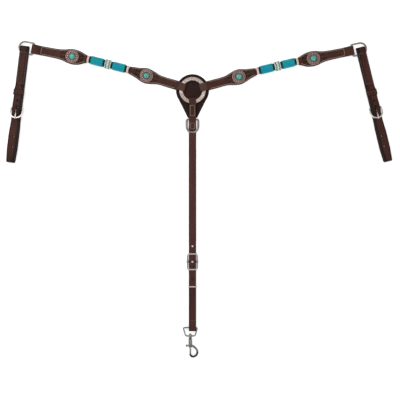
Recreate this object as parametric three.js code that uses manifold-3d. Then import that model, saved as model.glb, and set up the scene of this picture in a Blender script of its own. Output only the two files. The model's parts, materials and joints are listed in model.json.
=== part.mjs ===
// A western breastplate (breast collar) for a horse, laid flat: millimetres, +X to one side of the
// horse, +Y towards its neck, +Z out of the show face. Every strap is drawn as its side profile,
// extruded across its width and, where it is shaped, cut to its outline.
import * as THREE from "three";
import { mergeVertices } from "three/addons/utils/BufferGeometryUtils.js";
import Module from "manifold-3d";

const wasm = await Module();
wasm.setup();

// Driving dimensions, in millimetres and degrees.
const LEATHER = 2.6; // one layer of strap leather
const GAP = 0.3; // clearance between pieces that touch
const STEP = LEATHER + GAP; // height from one layer to the next
const LOW = LEATHER / 2; // middle of the layer that lies on the ground
const SECOND = LOW + STEP; // middle of the layer above it

const RING_OUTER = 36.8;
const RING_INNER = 26.5;
const RING_THICK = 4;
const RING_Z = 2 * STEP + RING_THICK / 2; // the ring lies on the safe and on the turned straps
const RING_TURN = 25; // distance from the ring's centre to where the straps turn round it
const RING_FOLD = RING_THICK / 2 + GAP + LOW; // radius of that turn

const INNER_LENGTH = 183; // ring centre to the inner end of the beads
const INNER_CONCHO = 133;
const INNER_HALF_WIDTHS = [
  [15, 10.6], [28, 10.6], [38, 10.7], [46, 12.4], [84, 12.6], [100, 13.8],
  [116, 18.2], [133, 21], [146, 18.8], [160, 14.2], [185, 8.8],
];

const BEAD_Z = 12.9; // height of the beads' axis
const BEAD_BORE = 4.2;
const CORE_RADIUS = 3.8;
const TAB_THICK = 3.4; // flat ends of the core, sewn between top and liner
const TAB_Z = 8;
const TAB_LENGTH = 8;
const END_GAP = 2.4; // bare core between a strap's end and the first bead
const BARREL_LENGTH = 38;
const BARREL_RADIUS = 11.2;
const KNOT_LENGTH = 17;
const KNOT_RADIUS = 12.6;
const SPACER_LENGTH = 5.5;
const SPACER_RADIUS = 9.4;
const WASHER_LENGTH = 2.6;
const WASHER_RADIUS = 9.8;

const OUTER_LENGTH = 153; // outer end of the beads to the bar of the side dee
const OUTER_CONCHO = 44;
const OUTER_HALF_WIDTHS = [
  [0, 9], [10, 13], [24, 18.6], [40, 20.8], [54, 19.4], [70, 15.2], [90, 13.2], [125, 12.6], [162, 12.6],
];

const CONCHO_RADIUS = 19;
const CONCHO_THICK = 2.2;
const CONCHO_SCALLOPS = 16;
const CONCHO_POST = 2.2;
const STONE_RADIUS = 7.6;
const STONE_HEIGHT = 3.2;

const WIRE = 4.6; // wire of the side dees
const DEE_HALF_WIDTH = 16; // middle of the wire
const DEE_BAR_TO_ARC = 23.5; // bar to the centre of the dee's arc
const DEE_Z = LEATHER + GAP + WIRE / 2;

const TUG_HALF_WIDTH = 12.3;
const TUG_TOP = 0.7; // centre of the turn over the side dee, from the centre of the dee's arc
const TUG_BOTTOM = 312.5; // centre of the turn at the lower end
const TUG_FRONT_Z = 13; // middle of the front layer near the lower end of the loop
const BUCKLE_BAR = 167; // heel bar of the buckle, along the tug
const BUCKLE_THICK = 4;
const BUCKLE_BAR_Z = LEATHER + GAP + LEATHER + GAP + BUCKLE_THICK / 2;
const BUCKLE_OUTER = 18.5;
const BUCKLE_BAND = 4.5;
const BUCKLE_ARC = 13.5; // heel bar to the centre of the buckle's arc
const BUCKLE_LEAN = 15; // the frame leans up over the billet
const TONGUE_WIDTH = 3.4;
const TUG_HOLE = 148; // in the billet, above the buckle
const TUG_SPARE_HOLES = [247, 276]; // through both layers below the buckle
const HOLE_RADIUS = 2.4;
const TUG_KEEPER_START = 117;
const TUG_KEEPER_LENGTH = 16;

const HANGER_HALF_WIDTH = 9.8;
const SAFE_RADIUS = 45.4;
const SAFE_TAPER_START = 26;
const SAFE_NECK = 12.7; // half width of the safe's lower end
const SAFE_LENGTH = 75.3;
const CENTRE_DEE_BAR = 80.3;
const CENTRE_DEE_THICK = 4;
const CENTRE_DEE_HALF_WIDTH = 16; // middle of the band
const CENTRE_DEE_BAND = 6;
const CENTRE_DEE_ARC = 19; // bar to the centre of the arc
const CENTRE_DEE_Z = LEATHER + GAP + CENTRE_DEE_THICK / 2;

const TIE_HALF_WIDTH = 10;
const TIE_START = 76.5;
const TIE_HOLE = 429; // free hole above the conway buckle
const TIE_TIP = 541;
const TIE_SPARE_HOLE = 519; // hole below the conway buckle, backed by the lower loop
const CONWAY = 471.5; // stud of the conway buckle
const CONWAY_BAR = 21.4; // stud to each outer bar
const CONWAY_THICK = 3;
const CONWAY_HALF_WIDTH = 16.2;
const LIFT = 1.6; // the lower loop is lifted by this much, to make room for its metal keeper
const METAL_KEEPER = 540.4;

const SNAP_X = -6; // the snap hangs a little off the strap's middle
const EYE_WIRE = 4;
const EYE_TOP = 652.5;
const EYE_BOTTOM = 675.5;
const EYE_ROOM = 0.5; // clearance between the eye's wire and the leather round it
const SNAP_Z = LIFT + LEATHER + EYE_ROOM + EYE_WIRE / 2;
const BARREL_START = 680;
const BARREL_END = 706;
const BOLT_START = 697.5;
const BOLT_END = 722.5;
const BOLT_RADIUS = 2.4;
const KNOB = 702;

const LEFT = { name: "left", inner: 17.7, beads: 14.5, outer: 10.9, tug: 7 };
const RIGHT = { name: "right", inner: 16.3, beads: 13.7, outer: 11.6, tug: 13.6 };

const material = (color, roughness, metalness) =>
  new THREE.MeshStandardMaterial({ color, roughness, metalness });
const leather = () => material(0x4b2d28, 0.6, 0);
const darkLeather = () => material(0x321f1c, 0.7, 0);
const nickel = () => material(0xc8c0ba, 0.3, 1);
const chrome = () => material(0xb9bcc0, 0.15, 1);
const copper = () => material(0xa5877d, 0.4, 1);
const turquoise = () => material(0x0aa0ae, 0.5, 0);
const stone = () => material(0x49b4aa, 0.4, 0);
const cream = () => material(0xf2e4d6, 0.6, 0);
const braid = () => material(0xc9d0c4, 0.7, 0);

const radians = THREE.MathUtils.degToRad;

// ---- solids -------------------------------------------------------------------------------------

function solidOf(geometry) {
  const bare = geometry.clone();
  bare.deleteAttribute("normal");
  bare.deleteAttribute("uv");
  const merged = mergeVertices(bare, 1e-4);
  return new wasm.Manifold(
    new wasm.Mesh({
      numProp: 3,
      vertProperties: merged.attributes.position.array,
      triVerts: new Uint32Array(merged.index.array),
    }),
  );
}

function geometryOf(solid) {
  const mesh = solid.getMesh();
  const geometry = new THREE.BufferGeometry();
  geometry.setAttribute("position", new THREE.BufferAttribute(mesh.vertProperties, 3));
  geometry.setIndex(new THREE.BufferAttribute(mesh.triVerts, 1));
  geometry.computeVertexNormals();
  return geometry;
}

function box(lengthX, lengthY, lengthZ, x, y, z) {
  return solidOf(new THREE.BoxGeometry(lengthX, lengthY, lengthZ).translate(x, y, z));
}

// An upright cylinder from height low to height high.
function post(radius, x, y, low, high, sides = 16) {
  const geometry = new THREE.CylinderGeometry(radius, radius, high - low, sides);
  return solidOf(geometry.rotateX(Math.PI / 2).translate(x, y, (low + high) / 2));
}

// A cylinder along X.
function rod(radius, start, end, y, z, sides = 16) {
  const geometry = new THREE.CylinderGeometry(radius, radius, end - start, sides);
  return solidOf(geometry.rotateZ(Math.PI / 2).translate((start + end) / 2, y, z));
}

// A cylinder along Y, centred on y = 0.
function crossRod(radius, length, x, z, sides = 16) {
  return solidOf(new THREE.CylinderGeometry(radius, radius, length, sides).translate(x, 0, z));
}

// A ring or bead turned about the X axis at height z. Each profile point is [along, radius].
function turned(profile, start, z, segments = 14) {
  const points = profile.map(([along, radius]) => new THREE.Vector2(radius, -along)).reverse();
  points.push(points[0].clone());
  const geometry = new THREE.LatheGeometry(points, segments);
  return solidOf(geometry.rotateZ(Math.PI / 2).translate(start, 0, z));
}

// A flat plate between two heights, cut to a shape.
function plate(shape, low, high, curveSegments = 12) {
  const geometry = new THREE.ExtrudeGeometry(shape, {
    depth: high - low,
    bevelEnabled: false,
    curveSegments,
  });
  return solidOf(geometry.translate(0, 0, low));
}

// A flat plate centred on height 0 whose edges are chamfered, for wire and cast frames.
function castPlate(shape, thickness, chamfer, curveSegments = 8) {
  const geometry = new THREE.ExtrudeGeometry(shape, {
    depth: thickness - 2 * chamfer,
    bevelEnabled: true,
    bevelThickness: chamfer,
    bevelSize: chamfer,
    bevelOffset: -chamfer,
    bevelSegments: 1,
    curveSegments,
  });
  return solidOf(geometry.translate(0, 0, -thickness / 2 + chamfer));
}

// The side outline of a strap whose middle follows a path of THREE.Vector2 (along, height).
function strapProfile(path, thickness) {
  const points = path.filter((p, i) => i === 0 || p.distanceTo(path[i - 1]) > 1e-6);
  const direction = (i) => points[i + 1].clone().sub(points[i]).normalize();
  const offsets = points.map((p, i) => {
    const before = direction(Math.max(i - 1, 0));
    const after = direction(Math.min(i, points.length - 2));
    const along = before.clone().add(after).normalize();
    const reach = thickness / 2 / along.dot(after);
    return new THREE.Vector2(-along.y, along.x).multiplyScalar(reach);
  });
  const above = points.map((p, i) => p.clone().add(offsets[i]));
  const below = points.map((p, i) => p.clone().sub(offsets[i]));
  return new THREE.Shape(below.concat(above.reverse()));
}

// A strap: its path holds corners and turns, and it is centred on y = 0.
function strap(path, width, thickness = LEATHER) {
  const shape = strapProfile(path.getPoints(5), thickness);
  const geometry = new THREE.ExtrudeGeometry(shape, { depth: width, bevelEnabled: false });
  return solidOf(geometry.rotateX(Math.PI / 2).translate(0, width / 2, 0));
}

function pathOf(...points) {
  const path = new THREE.Path();
  path.moveTo(...points[0]);
  points.slice(1).forEach((p) => path.lineTo(...p));
  return path;
}

// The symmetric outline of a shaped strap, from its half widths.
function outlineOf(halfWidths) {
  const edge = new THREE.SplineCurve(halfWidths.map(([x, y]) => new THREE.Vector2(x, y)));
  const upper = edge.getPoints(halfWidths.length * 2);
  const lower = upper.map((p) => new THREE.Vector2(p.x, -p.y)).reverse();
  return new THREE.Shape(upper.concat(lower));
}

const OUTLINE_TOP = 30; // taller than any strap
const MAX_WIDTH = 60; // wider than any strap

function shapedStrap(path, halfWidths) {
  return strap(path, MAX_WIDTH).intersect(plate(outlineOf(halfWidths), -1, OUTLINE_TOP));
}

function hole(x, radius = HOLE_RADIUS, low = -1, high = OUTLINE_TOP) {
  return post(radius, x, 0, low, high, 12);
}

// A D: a straight bar along Y at x = 0 and an arc of the given radius about (arc, 0).
function dShape(radius, bar, arc, maker = THREE.Shape) {
  const shape = new maker();
  shape.moveTo(bar, -radius);
  shape.lineTo(arc, -radius);
  shape.absarc(arc, 0, radius, -Math.PI / 2, Math.PI / 2, false);
  shape.lineTo(bar, radius);
  shape.lineTo(bar, -radius);
  return shape;
}

// A D-shaped frame of the given band width, its bar's middle at x = 0.
function dFrame(halfWidth, band, arc, thickness, chamfer) {
  const shape = dShape(halfWidth + band / 2, -band / 2, arc);
  shape.holes.push(dShape(halfWidth - band / 2, band / 2, arc, THREE.Path));
  return castPlate(shape, thickness, chamfer);
}

// The same frame with a round bar where a strap turns round it.
function roundBarFrame(halfWidth, band, arc, thickness, strapHalfWidth) {
  const room = box(band, 2 * strapHalfWidth + 1.4, thickness + 1, 0, 0, 0);
  return dFrame(halfWidth, band, arc, thickness, 1)
    .subtract(room.scale([1.2, 1, 1]))
    .add(crossRod(thickness / 2, 2 * strapHalfWidth + 4, 0, 0, 12));
}

// ---- one side -----------------------------------------------------------------------------------

function innerStrap() {
  const path = pathOf(
    [INNER_LENGTH - END_GAP, TAB_Z + TAB_THICK / 2 + GAP + LOW],
    [171, TAB_Z + TAB_THICK / 2 + GAP + LOW],
    [153, SECOND],
    [74, SECOND],
    [44, RING_Z + RING_FOLD],
    [RING_TURN, RING_Z + RING_FOLD],
  );
  path.absarc(RING_TURN, RING_Z, RING_FOLD, Math.PI / 2, 1.5 * Math.PI, false);
  path.lineTo(58, SECOND);
  path.lineTo(66, LOW);
  path.lineTo(86, LOW);
  return shapedStrap(path, INNER_HALF_WIDTHS).subtract(hole(INNER_CONCHO, CONCHO_POST + GAP));
}

function innerLiner() {
  const path = pathOf(
    [87.5, LOW],
    [154, LOW],
    [171, TAB_Z - TAB_THICK / 2 - GAP - LOW],
    [INNER_LENGTH - END_GAP, TAB_Z - TAB_THICK / 2 - GAP - LOW],
  );
  return shapedStrap(path, INNER_HALF_WIDTHS).subtract(hole(INNER_CONCHO, CONCHO_POST + GAP));
}

function outerStrap() {
  const turn = WIRE / 2 + GAP + LOW;
  const path = pathOf(
    [END_GAP, TAB_Z + TAB_THICK / 2 + GAP + LOW],
    [11, TAB_Z + TAB_THICK / 2 + GAP + LOW],
    [24.5, SECOND],
    [133, SECOND],
    [147, DEE_Z + turn],
    [OUTER_LENGTH, DEE_Z + turn],
  );
  path.absarc(OUTER_LENGTH, DEE_Z, turn, Math.PI / 2, -Math.PI / 2, true);
  path.lineTo(118, LOW);
  return shapedStrap(path, OUTER_HALF_WIDTHS).subtract(hole(OUTER_CONCHO, CONCHO_POST + GAP));
}

function outerLiner() {
  const path = pathOf(
    [END_GAP, TAB_Z - TAB_THICK / 2 - GAP - LOW],
    [11, TAB_Z - TAB_THICK / 2 - GAP - LOW],
    [23, LOW],
    [116.5, LOW],
  );
  return shapedStrap(path, OUTER_HALF_WIDTHS).subtract(hole(OUTER_CONCHO, CONCHO_POST + GAP));
}

function concho() {
  const scalloped = new THREE.Shape(
    Array.from({ length: CONCHO_SCALLOPS * 3 }, (_, i) => {
      const angle = (2 * Math.PI * i) / (CONCHO_SCALLOPS * 3);
      const radius = CONCHO_RADIUS - 0.5 + 0.5 * Math.cos(CONCHO_SCALLOPS * angle);
      return new THREE.Vector2(radius * Math.cos(angle), radius * Math.sin(angle));
    }),
  );
  const bottom = 2 * STEP;
  return plate(scalloped, bottom, bottom + CONCHO_THICK).add(
    post(CONCHO_POST, 0, 0, GAP, bottom + 1, 12),
  );
}

function conchoStone() {
  const base = 2 * STEP + CONCHO_THICK + GAP;
  const profile = [
    [0, 0],
    [STONE_RADIUS, 0],
    [STONE_RADIUS, STONE_HEIGHT * 0.4],
    [STONE_RADIUS * 0.7, STONE_HEIGHT * 0.85],
    [0, STONE_HEIGHT],
  ];
  const geometry = new THREE.LatheGeometry(profile.map((p) => new THREE.Vector2(...p)), 14);
  return solidOf(geometry.rotateX(Math.PI / 2).translate(0, 0, base));
}

// The core the beads are threaded on, with a flat tab at each end for the straps.
function beadCore(length) {
  const tabMiddle = END_GAP + TAB_LENGTH / 2 - GAP;
  const stopHeight = BEAD_Z - TAB_Z + TAB_THICK / 2;
  const stopZ = TAB_Z - TAB_THICK / 2 + stopHeight / 2;
  const end = (x, outward) =>
    box(TAB_LENGTH, 11, TAB_THICK, x + outward * tabMiddle, 0, TAB_Z).add(
      box(END_GAP - 2 * GAP, 7, stopHeight, x + outward * (END_GAP / 2), 0, stopZ),
    );
  return rod(CORE_RADIUS, -END_GAP / 2, length + END_GAP / 2, 0, BEAD_Z, 12)
    .add(end(0, -1))
    .add(end(length, 1));
}

const plainRing = (radius, length) => [
  [0, BEAD_BORE],
  [0, radius],
  [length, radius],
  [length, BEAD_BORE],
];

const barrelProfile = [
  [0, BEAD_BORE],
  [0, BARREL_RADIUS - 2.4],
  [4, BARREL_RADIUS],
  [BARREL_LENGTH - 4, BARREL_RADIUS],
  [BARREL_LENGTH, BARREL_RADIUS - 2.4],
  [BARREL_LENGTH, BEAD_BORE],
];

const knotProfile = [
  [0, BEAD_BORE],
  [0, KNOT_RADIUS - 2],
  [KNOT_LENGTH * 0.25, KNOT_RADIUS],
  [KNOT_LENGTH * 0.5, KNOT_RADIUS - 0.9],
  [KNOT_LENGTH * 0.75, KNOT_RADIUS],
  [KNOT_LENGTH, KNOT_RADIUS - 2],
  [KNOT_LENGTH, BEAD_BORE],
];

// The beads in their order along the core: [name, profile, length, material].
const BEADS = [
  ["spacer_inner", plainRing(SPACER_RADIUS, SPACER_LENGTH), SPACER_LENGTH, cream],
  ["washer_1", plainRing(WASHER_RADIUS, WASHER_LENGTH), WASHER_LENGTH, darkLeather],
  ["barrel_bead_inner", barrelProfile, BARREL_LENGTH, turquoise],
  ["washer_2", plainRing(WASHER_RADIUS, WASHER_LENGTH), WASHER_LENGTH, darkLeather],
  ["braided_knot", knotProfile, KNOT_LENGTH, braid],
  ["washer_3", plainRing(WASHER_RADIUS, WASHER_LENGTH), WASHER_LENGTH, darkLeather],
  ["barrel_bead_outer", barrelProfile, BARREL_LENGTH, turquoise],
  ["washer_4", plainRing(WASHER_RADIUS, WASHER_LENGTH), WASHER_LENGTH, darkLeather],
  ["spacer_outer", plainRing(SPACER_RADIUS, SPACER_LENGTH), SPACER_LENGTH, cream],
];
const BEADS_LENGTH = BEADS.reduce((sum, bead) => sum + bead[2] + GAP, GAP);

function sideDee() {
  return dFrame(DEE_HALF_WIDTH, WIRE, DEE_BAR_TO_ARC, WIRE, WIRE * 0.29).translate([0, 0, DEE_Z]);
}

// One strap: buckle end, up over the dee, down the back, round the lower end and up to the billet tip.
function tugStrap() {
  const topTurn = WIRE / 2 + GAP + LOW;
  const barTurn = BUCKLE_THICK / 2 + GAP + LOW;
  const lowTurn = (TUG_FRONT_Z - LOW) / 2;
  const chapeZ = DEE_Z + topTurn;
  const path = new THREE.Path();
  path.moveTo(142, BUCKLE_BAR_Z - barTurn);
  path.lineTo(BUCKLE_BAR, BUCKLE_BAR_Z - barTurn);
  path.absarc(BUCKLE_BAR, BUCKLE_BAR_Z, barTurn, -Math.PI / 2, Math.PI / 2, false);
  path.lineTo(161, BUCKLE_BAR_Z + barTurn);
  path.lineTo(150, chapeZ);
  path.lineTo(TUG_TOP, chapeZ);
  path.absarc(TUG_TOP, DEE_Z, topTurn, Math.PI / 2, 1.5 * Math.PI, false);
  path.lineTo(TUG_BOTTOM, LOW);
  path.absarc(TUG_BOTTOM, LOW + lowTurn, lowTurn, -Math.PI / 2, Math.PI / 2, false);
  path.lineTo(240, TUG_FRONT_Z);
  path.lineTo(220, chapeZ);
  path.lineTo(187.5, chapeZ);
  path.lineTo(174, BUCKLE_BAR_Z + barTurn + STEP);
  path.lineTo(158, BUCKLE_BAR_Z + barTurn + STEP);
  path.lineTo(146, chapeZ + STEP);
  path.lineTo(104, chapeZ + STEP);
  const tongueSlotTop = BUCKLE_BAR_Z + barTurn + LOW + GAP / 2;
  const tongueSlotLow = LEATHER + GAP / 2;
  const slotMiddle = (tongueSlotTop + tongueSlotLow) / 2;
  const chapeSlot = box(14, 5.6, tongueSlotTop - tongueSlotLow, 166, 0, slotMiddle);
  const billetSlot = box(11, 5.6, STEP + 1, 168.5, 0, BUCKLE_BAR_Z + barTurn + STEP);
  const full = strap(path, 2 * TUG_HALF_WIDTH).subtract(chapeSlot).subtract(billetSlot);
  const punched = full.subtract(hole(TUG_HOLE, HOLE_RADIUS, 6));
  return TUG_SPARE_HOLES.reduce((solid, x) => solid.subtract(hole(x)), punched);
}

function tubeKeeper(length, halfWidth, low, high, sideWall, faceWall) {
  const middle = (low + high) / 2;
  const outer = box(length, 2 * (halfWidth + sideWall), high - low + 2 * faceWall, 0, 0, middle);
  return outer.subtract(box(length + 2, 2 * halfWidth, high - low, 0, 0, middle));
}

function tugKeeper() {
  const chapeZ = DEE_Z + WIRE / 2 + GAP + LOW;
  const low = chapeZ - LOW - GAP;
  const high = chapeZ + STEP + LOW + GAP;
  const centre = TUG_KEEPER_START + TUG_KEEPER_LENGTH / 2;
  return tubeKeeper(TUG_KEEPER_LENGTH, TUG_HALF_WIDTH + GAP, low, high, 2, 2).translate([centre, 0, 0]);
}

function buckleFrame() {
  const halfWidth = BUCKLE_OUTER - BUCKLE_BAND / 2;
  return roundBarFrame(halfWidth, BUCKLE_BAND, BUCKLE_ARC, BUCKLE_THICK, TUG_HALF_WIDTH)
    .rotate([0, -BUCKLE_LEAN, 0])
    .translate([BUCKLE_BAR, 0, BUCKLE_BAR_Z]);
}

function buckleTongue() {
  const collar = crossRod(3.9, TONGUE_WIDTH, BUCKLE_BAR, BUCKLE_BAR_Z, 16);
  const blade = strap(
    pathOf([BUCKLE_BAR + 1.4, 10.4], [BUCKLE_BAR + 3.4, 15.6], [BUCKLE_BAR + 7, 18.3], [200, 18.9]),
    TONGUE_WIDTH,
    2.2,
  );
  return collar
    .add(blade)
    .subtract(crossRod(BUCKLE_THICK / 2 + GAP, TONGUE_WIDTH + 2, BUCKLE_BAR, BUCKLE_BAR_Z, 16));
}

// ---- ring, hanger and lower strap ---------------------------------------------------------------

function centreRing() {
  const chamfer = 0.8;
  const half = RING_THICK / 2;
  const points = [
    [RING_INNER + chamfer, -half],
    [RING_OUTER - chamfer, -half],
    [RING_OUTER, -half + chamfer],
    [RING_OUTER, half - chamfer],
    [RING_OUTER - chamfer, half],
    [RING_INNER + chamfer, half],
    [RING_INNER, half - chamfer],
    [RING_INNER, -half + chamfer],
    [RING_INNER + chamfer, -half],
  ];
  const geometry = new THREE.LatheGeometry(points.map((p) => new THREE.Vector2(...p)), 40);
  return solidOf(geometry.rotateX(Math.PI / 2).translate(0, 0, RING_Z));
}

// The teardrop of leather behind the ring. Here and below, +X runs down the hanger.
function ringSafe() {
  const start = Math.PI - Math.acos(-SAFE_TAPER_START / SAFE_RADIUS);
  const shoulder = SAFE_RADIUS * Math.sin(start);
  const shape = new THREE.Shape();
  shape.absarc(0, 0, SAFE_RADIUS, start, 2 * Math.PI - start, false);
  shape.quadraticCurveTo(50, -25, SAFE_LENGTH, -SAFE_NECK);
  shape.lineTo(SAFE_LENGTH, SAFE_NECK);
  shape.quadraticCurveTo(50, 25, SAFE_TAPER_START, shoulder);
  return plate(shape, 0, LEATHER, 24);
}

// A strap outline with a rounded tip at the far end.
function tippedOutline(start, end, halfWidth) {
  const shape = new THREE.Shape();
  shape.moveTo(start, -halfWidth);
  shape.lineTo(end - halfWidth * 0.6, -halfWidth);
  shape.quadraticCurveTo(end, -halfWidth, end, 0);
  shape.quadraticCurveTo(end, halfWidth, end - halfWidth * 0.6, halfWidth);
  shape.lineTo(start, halfWidth);
  return shape;
}

function hangerStrap() {
  const overBar = CENTRE_DEE_Z + CENTRE_DEE_THICK / 2 + GAP + LOW;
  const path = pathOf(
    [112, SECOND],
    [92.5, SECOND],
    [85, overBar],
    [76, overBar],
    [72, SECOND + STEP],
    [60, SECOND + STEP],
    [44, RING_Z + RING_FOLD],
    [RING_TURN, RING_Z + RING_FOLD],
  );
  path.absarc(RING_TURN, RING_Z, RING_FOLD, Math.PI / 2, 1.5 * Math.PI, false);
  path.lineTo(75, SECOND);
  const outline = plate(tippedOutline(0, 110.5, HANGER_HALF_WIDTH), -1, OUTLINE_TOP);
  return strap(path, MAX_WIDTH).intersect(outline);
}

function centreDee() {
  return roundBarFrame(
    CENTRE_DEE_HALF_WIDTH,
    CENTRE_DEE_BAND,
    CENTRE_DEE_ARC,
    CENTRE_DEE_THICK,
    TIE_HALF_WIDTH,
  ).translate([CENTRE_DEE_BAR, 0, CENTRE_DEE_Z]);
}

function tieDownStrap() {
  const path = pathOf(
    [TIE_START, LOW],
    [424, LOW],
    [433, SECOND],
    [CONWAY - 16, SECOND],
    [CONWAY - 7.5, SECOND + STEP],
    [CONWAY + 7.5, SECOND + STEP],
    [CONWAY + 16, SECOND],
    [496.5, SECOND],
    [503, SECOND + LIFT],
    [TIE_TIP + 1, SECOND + LIFT],
  );
  const outline = plate(tippedOutline(0, TIE_TIP, TIE_HALF_WIDTH), -1, OUTLINE_TOP);
  return strap(path, MAX_WIDTH)
    .intersect(outline)
    .subtract(hole(TIE_HOLE))
    .subtract(hole(CONWAY))
    .subtract(hole(TIE_SPARE_HOLE));
}

function lowerLoopStrap() {
  const turn = EYE_WIRE / 2 + EYE_ROOM + LOW;
  const path = pathOf(
    [437, LOW],
    [CONWAY - 14.5, LOW],
    [CONWAY - 6.5, SECOND],
    [CONWAY + 6.5, SECOND],
    [CONWAY + 14.5, LOW],
    [496.5, LOW],
    [503, LOW + LIFT],
    [EYE_TOP, LOW + LIFT],
  );
  path.absarc(EYE_TOP, SNAP_Z, turn, -Math.PI / 2, Math.PI / 2, false);
  path.lineTo(647, SNAP_Z + turn);
  path.lineTo(637, SECOND + LIFT);
  path.lineTo(TIE_TIP + 2.5, SECOND + LIFT);
  return strap(path, 2 * TIE_HALF_WIDTH).subtract(hole(CONWAY));
}

function conwayBuckle() {
  const top = SECOND + LOW + GAP;
  const halfLength = CONWAY_BAR + 2;
  const room = TIE_HALF_WIDTH + 0.6;
  const rail = CONWAY_HALF_WIDTH - room;
  const railMiddle = room + rail / 2;
  const height = top + CONWAY_THICK - GAP;
  const frame = box(2 * halfLength, 2 * CONWAY_HALF_WIDTH, CONWAY_THICK, CONWAY, 0, top + CONWAY_THICK / 2);
  const window = box(2 * halfLength - 8, 2 * room, CONWAY_THICK + 2, CONWAY, 0, top + CONWAY_THICK / 2);
  const postOf = (side) => box(7, rail, height, CONWAY, side * railMiddle, GAP + height / 2);
  const bar = box(7, 2 * room + 1, LEATHER - GAP, CONWAY, 0, GAP + (LEATHER - GAP) / 2);
  return frame
    .subtract(window)
    .add(postOf(1))
    .add(postOf(-1))
    .add(bar)
    .add(post(2, CONWAY, 0, 1, 10.8, 12));
}

function metalKeeper() {
  const low = LIFT - GAP;
  const high = SECOND + LIFT + LOW + GAP;
  return tubeKeeper(3.6, TIE_HALF_WIDTH + 0.4, low, high, 2.4, 1.2).translate([METAL_KEEPER, 0, 0]);
}

function trapezoid(topHalf, bottomHalf, start, end, maker) {
  const shape = new maker();
  shape.moveTo(start, -topHalf);
  shape.lineTo(end, -bottomHalf);
  shape.lineTo(end, bottomHalf);
  shape.lineTo(start, topHalf);
  shape.lineTo(start, -topHalf);
  return shape;
}

function snapEye() {
  const half = EYE_WIRE / 2;
  const shape = trapezoid(22, 14.8, EYE_TOP - half, EYE_BOTTOM + half, THREE.Shape);
  shape.holes.push(trapezoid(17, 11.6, EYE_TOP + half, EYE_BOTTOM - half, THREE.Path));
  return castPlate(shape, EYE_WIRE, 1.2)
    .add(rod(4.6, EYE_BOTTOM - 4, EYE_BOTTOM + 4, 0, 0, 16))
    .subtract(rod(2, EYE_BOTTOM - 6, EYE_BOTTOM + 6, 0, 0, 12))
    .translate([0, SNAP_X, SNAP_Z]);
}

// A round bar along a smooth curve through points [along, across].
function bentBar(points, radius, steps) {
  const curve = new THREE.CatmullRomCurve3(points.map(([x, y]) => new THREE.Vector3(x, y, 0)));
  const section = new THREE.Shape(
    Array.from({ length: 10 }, (_, i) => {
      const angle = (2 * Math.PI * i) / 10;
      return new THREE.Vector2(radius * Math.cos(angle), radius * Math.sin(angle));
    }),
  );
  return solidOf(new THREE.ExtrudeGeometry(section, { steps, extrudePath: curve, bevelEnabled: false }));
}

// Shank, barrel and hook of the bolt snap, on the swivel's axis.
function snapBody() {
  const bend = [
    [700.5, 2.5], [706.5, 12], [713.5, 18], [721, 19.3], [728, 16.5],
    [732, 10], [731.3, 4], [727.5, 0.4], [723, 0],
  ];
  const hook = bentBar(bend, 2.7, 20);
  return rod(1.7, EYE_BOTTOM - 6, BARREL_START + 2, 0, 0, 12)
    .add(rod(3.4, EYE_BOTTOM - 6.7, EYE_BOTTOM - 4.3, 0, 0, 12))
    .add(rod(5.2, BARREL_START, BARREL_END, 0, 0, 16))
    .add(hook)
    .subtract(rod(BOLT_RADIUS + 0.4, 686, BARREL_END + 3, 0, 0, 16))
    .subtract(box(14, 6, 3, 697.5, -5, 0))
    .translate([0, SNAP_X, SNAP_Z]);
}

function snapBolt() {
  return rod(BOLT_RADIUS, BOLT_START, BOLT_END, SNAP_X, SNAP_Z, 16);
}

function snapKnob() {
  const stemStart = BOLT_RADIUS + GAP;
  const length = 9 - stemStart;
  const stem = box(2.2, length, 2.2, KNOB, SNAP_X - stemStart - length / 2, SNAP_Z);
  return stem.add(post(3.4, KNOB, SNAP_X - 9.4, SNAP_Z - 2.2, SNAP_Z + 2.2, 16));
}

// ---- assembly -----------------------------------------------------------------------------------

function addPiece(group, name, solid, look, position = [0, 0, 0]) {
  const mesh = new THREE.Mesh(geometryOf(solid), look());
  mesh.name = name;
  mesh.position.set(...position);
  group.add(mesh);
}

function turnedGroup(parent, name, x, y, degrees) {
  const group = new THREE.Group();
  group.name = name;
  group.position.set(x, y, 0);
  group.rotation.z = radians(degrees);
  parent.add(group);
  return group;
}

const ahead = (start, length, degrees) => [
  start[0] + length * Math.cos(radians(degrees)),
  start[1] + length * Math.sin(radians(degrees)),
];

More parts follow.
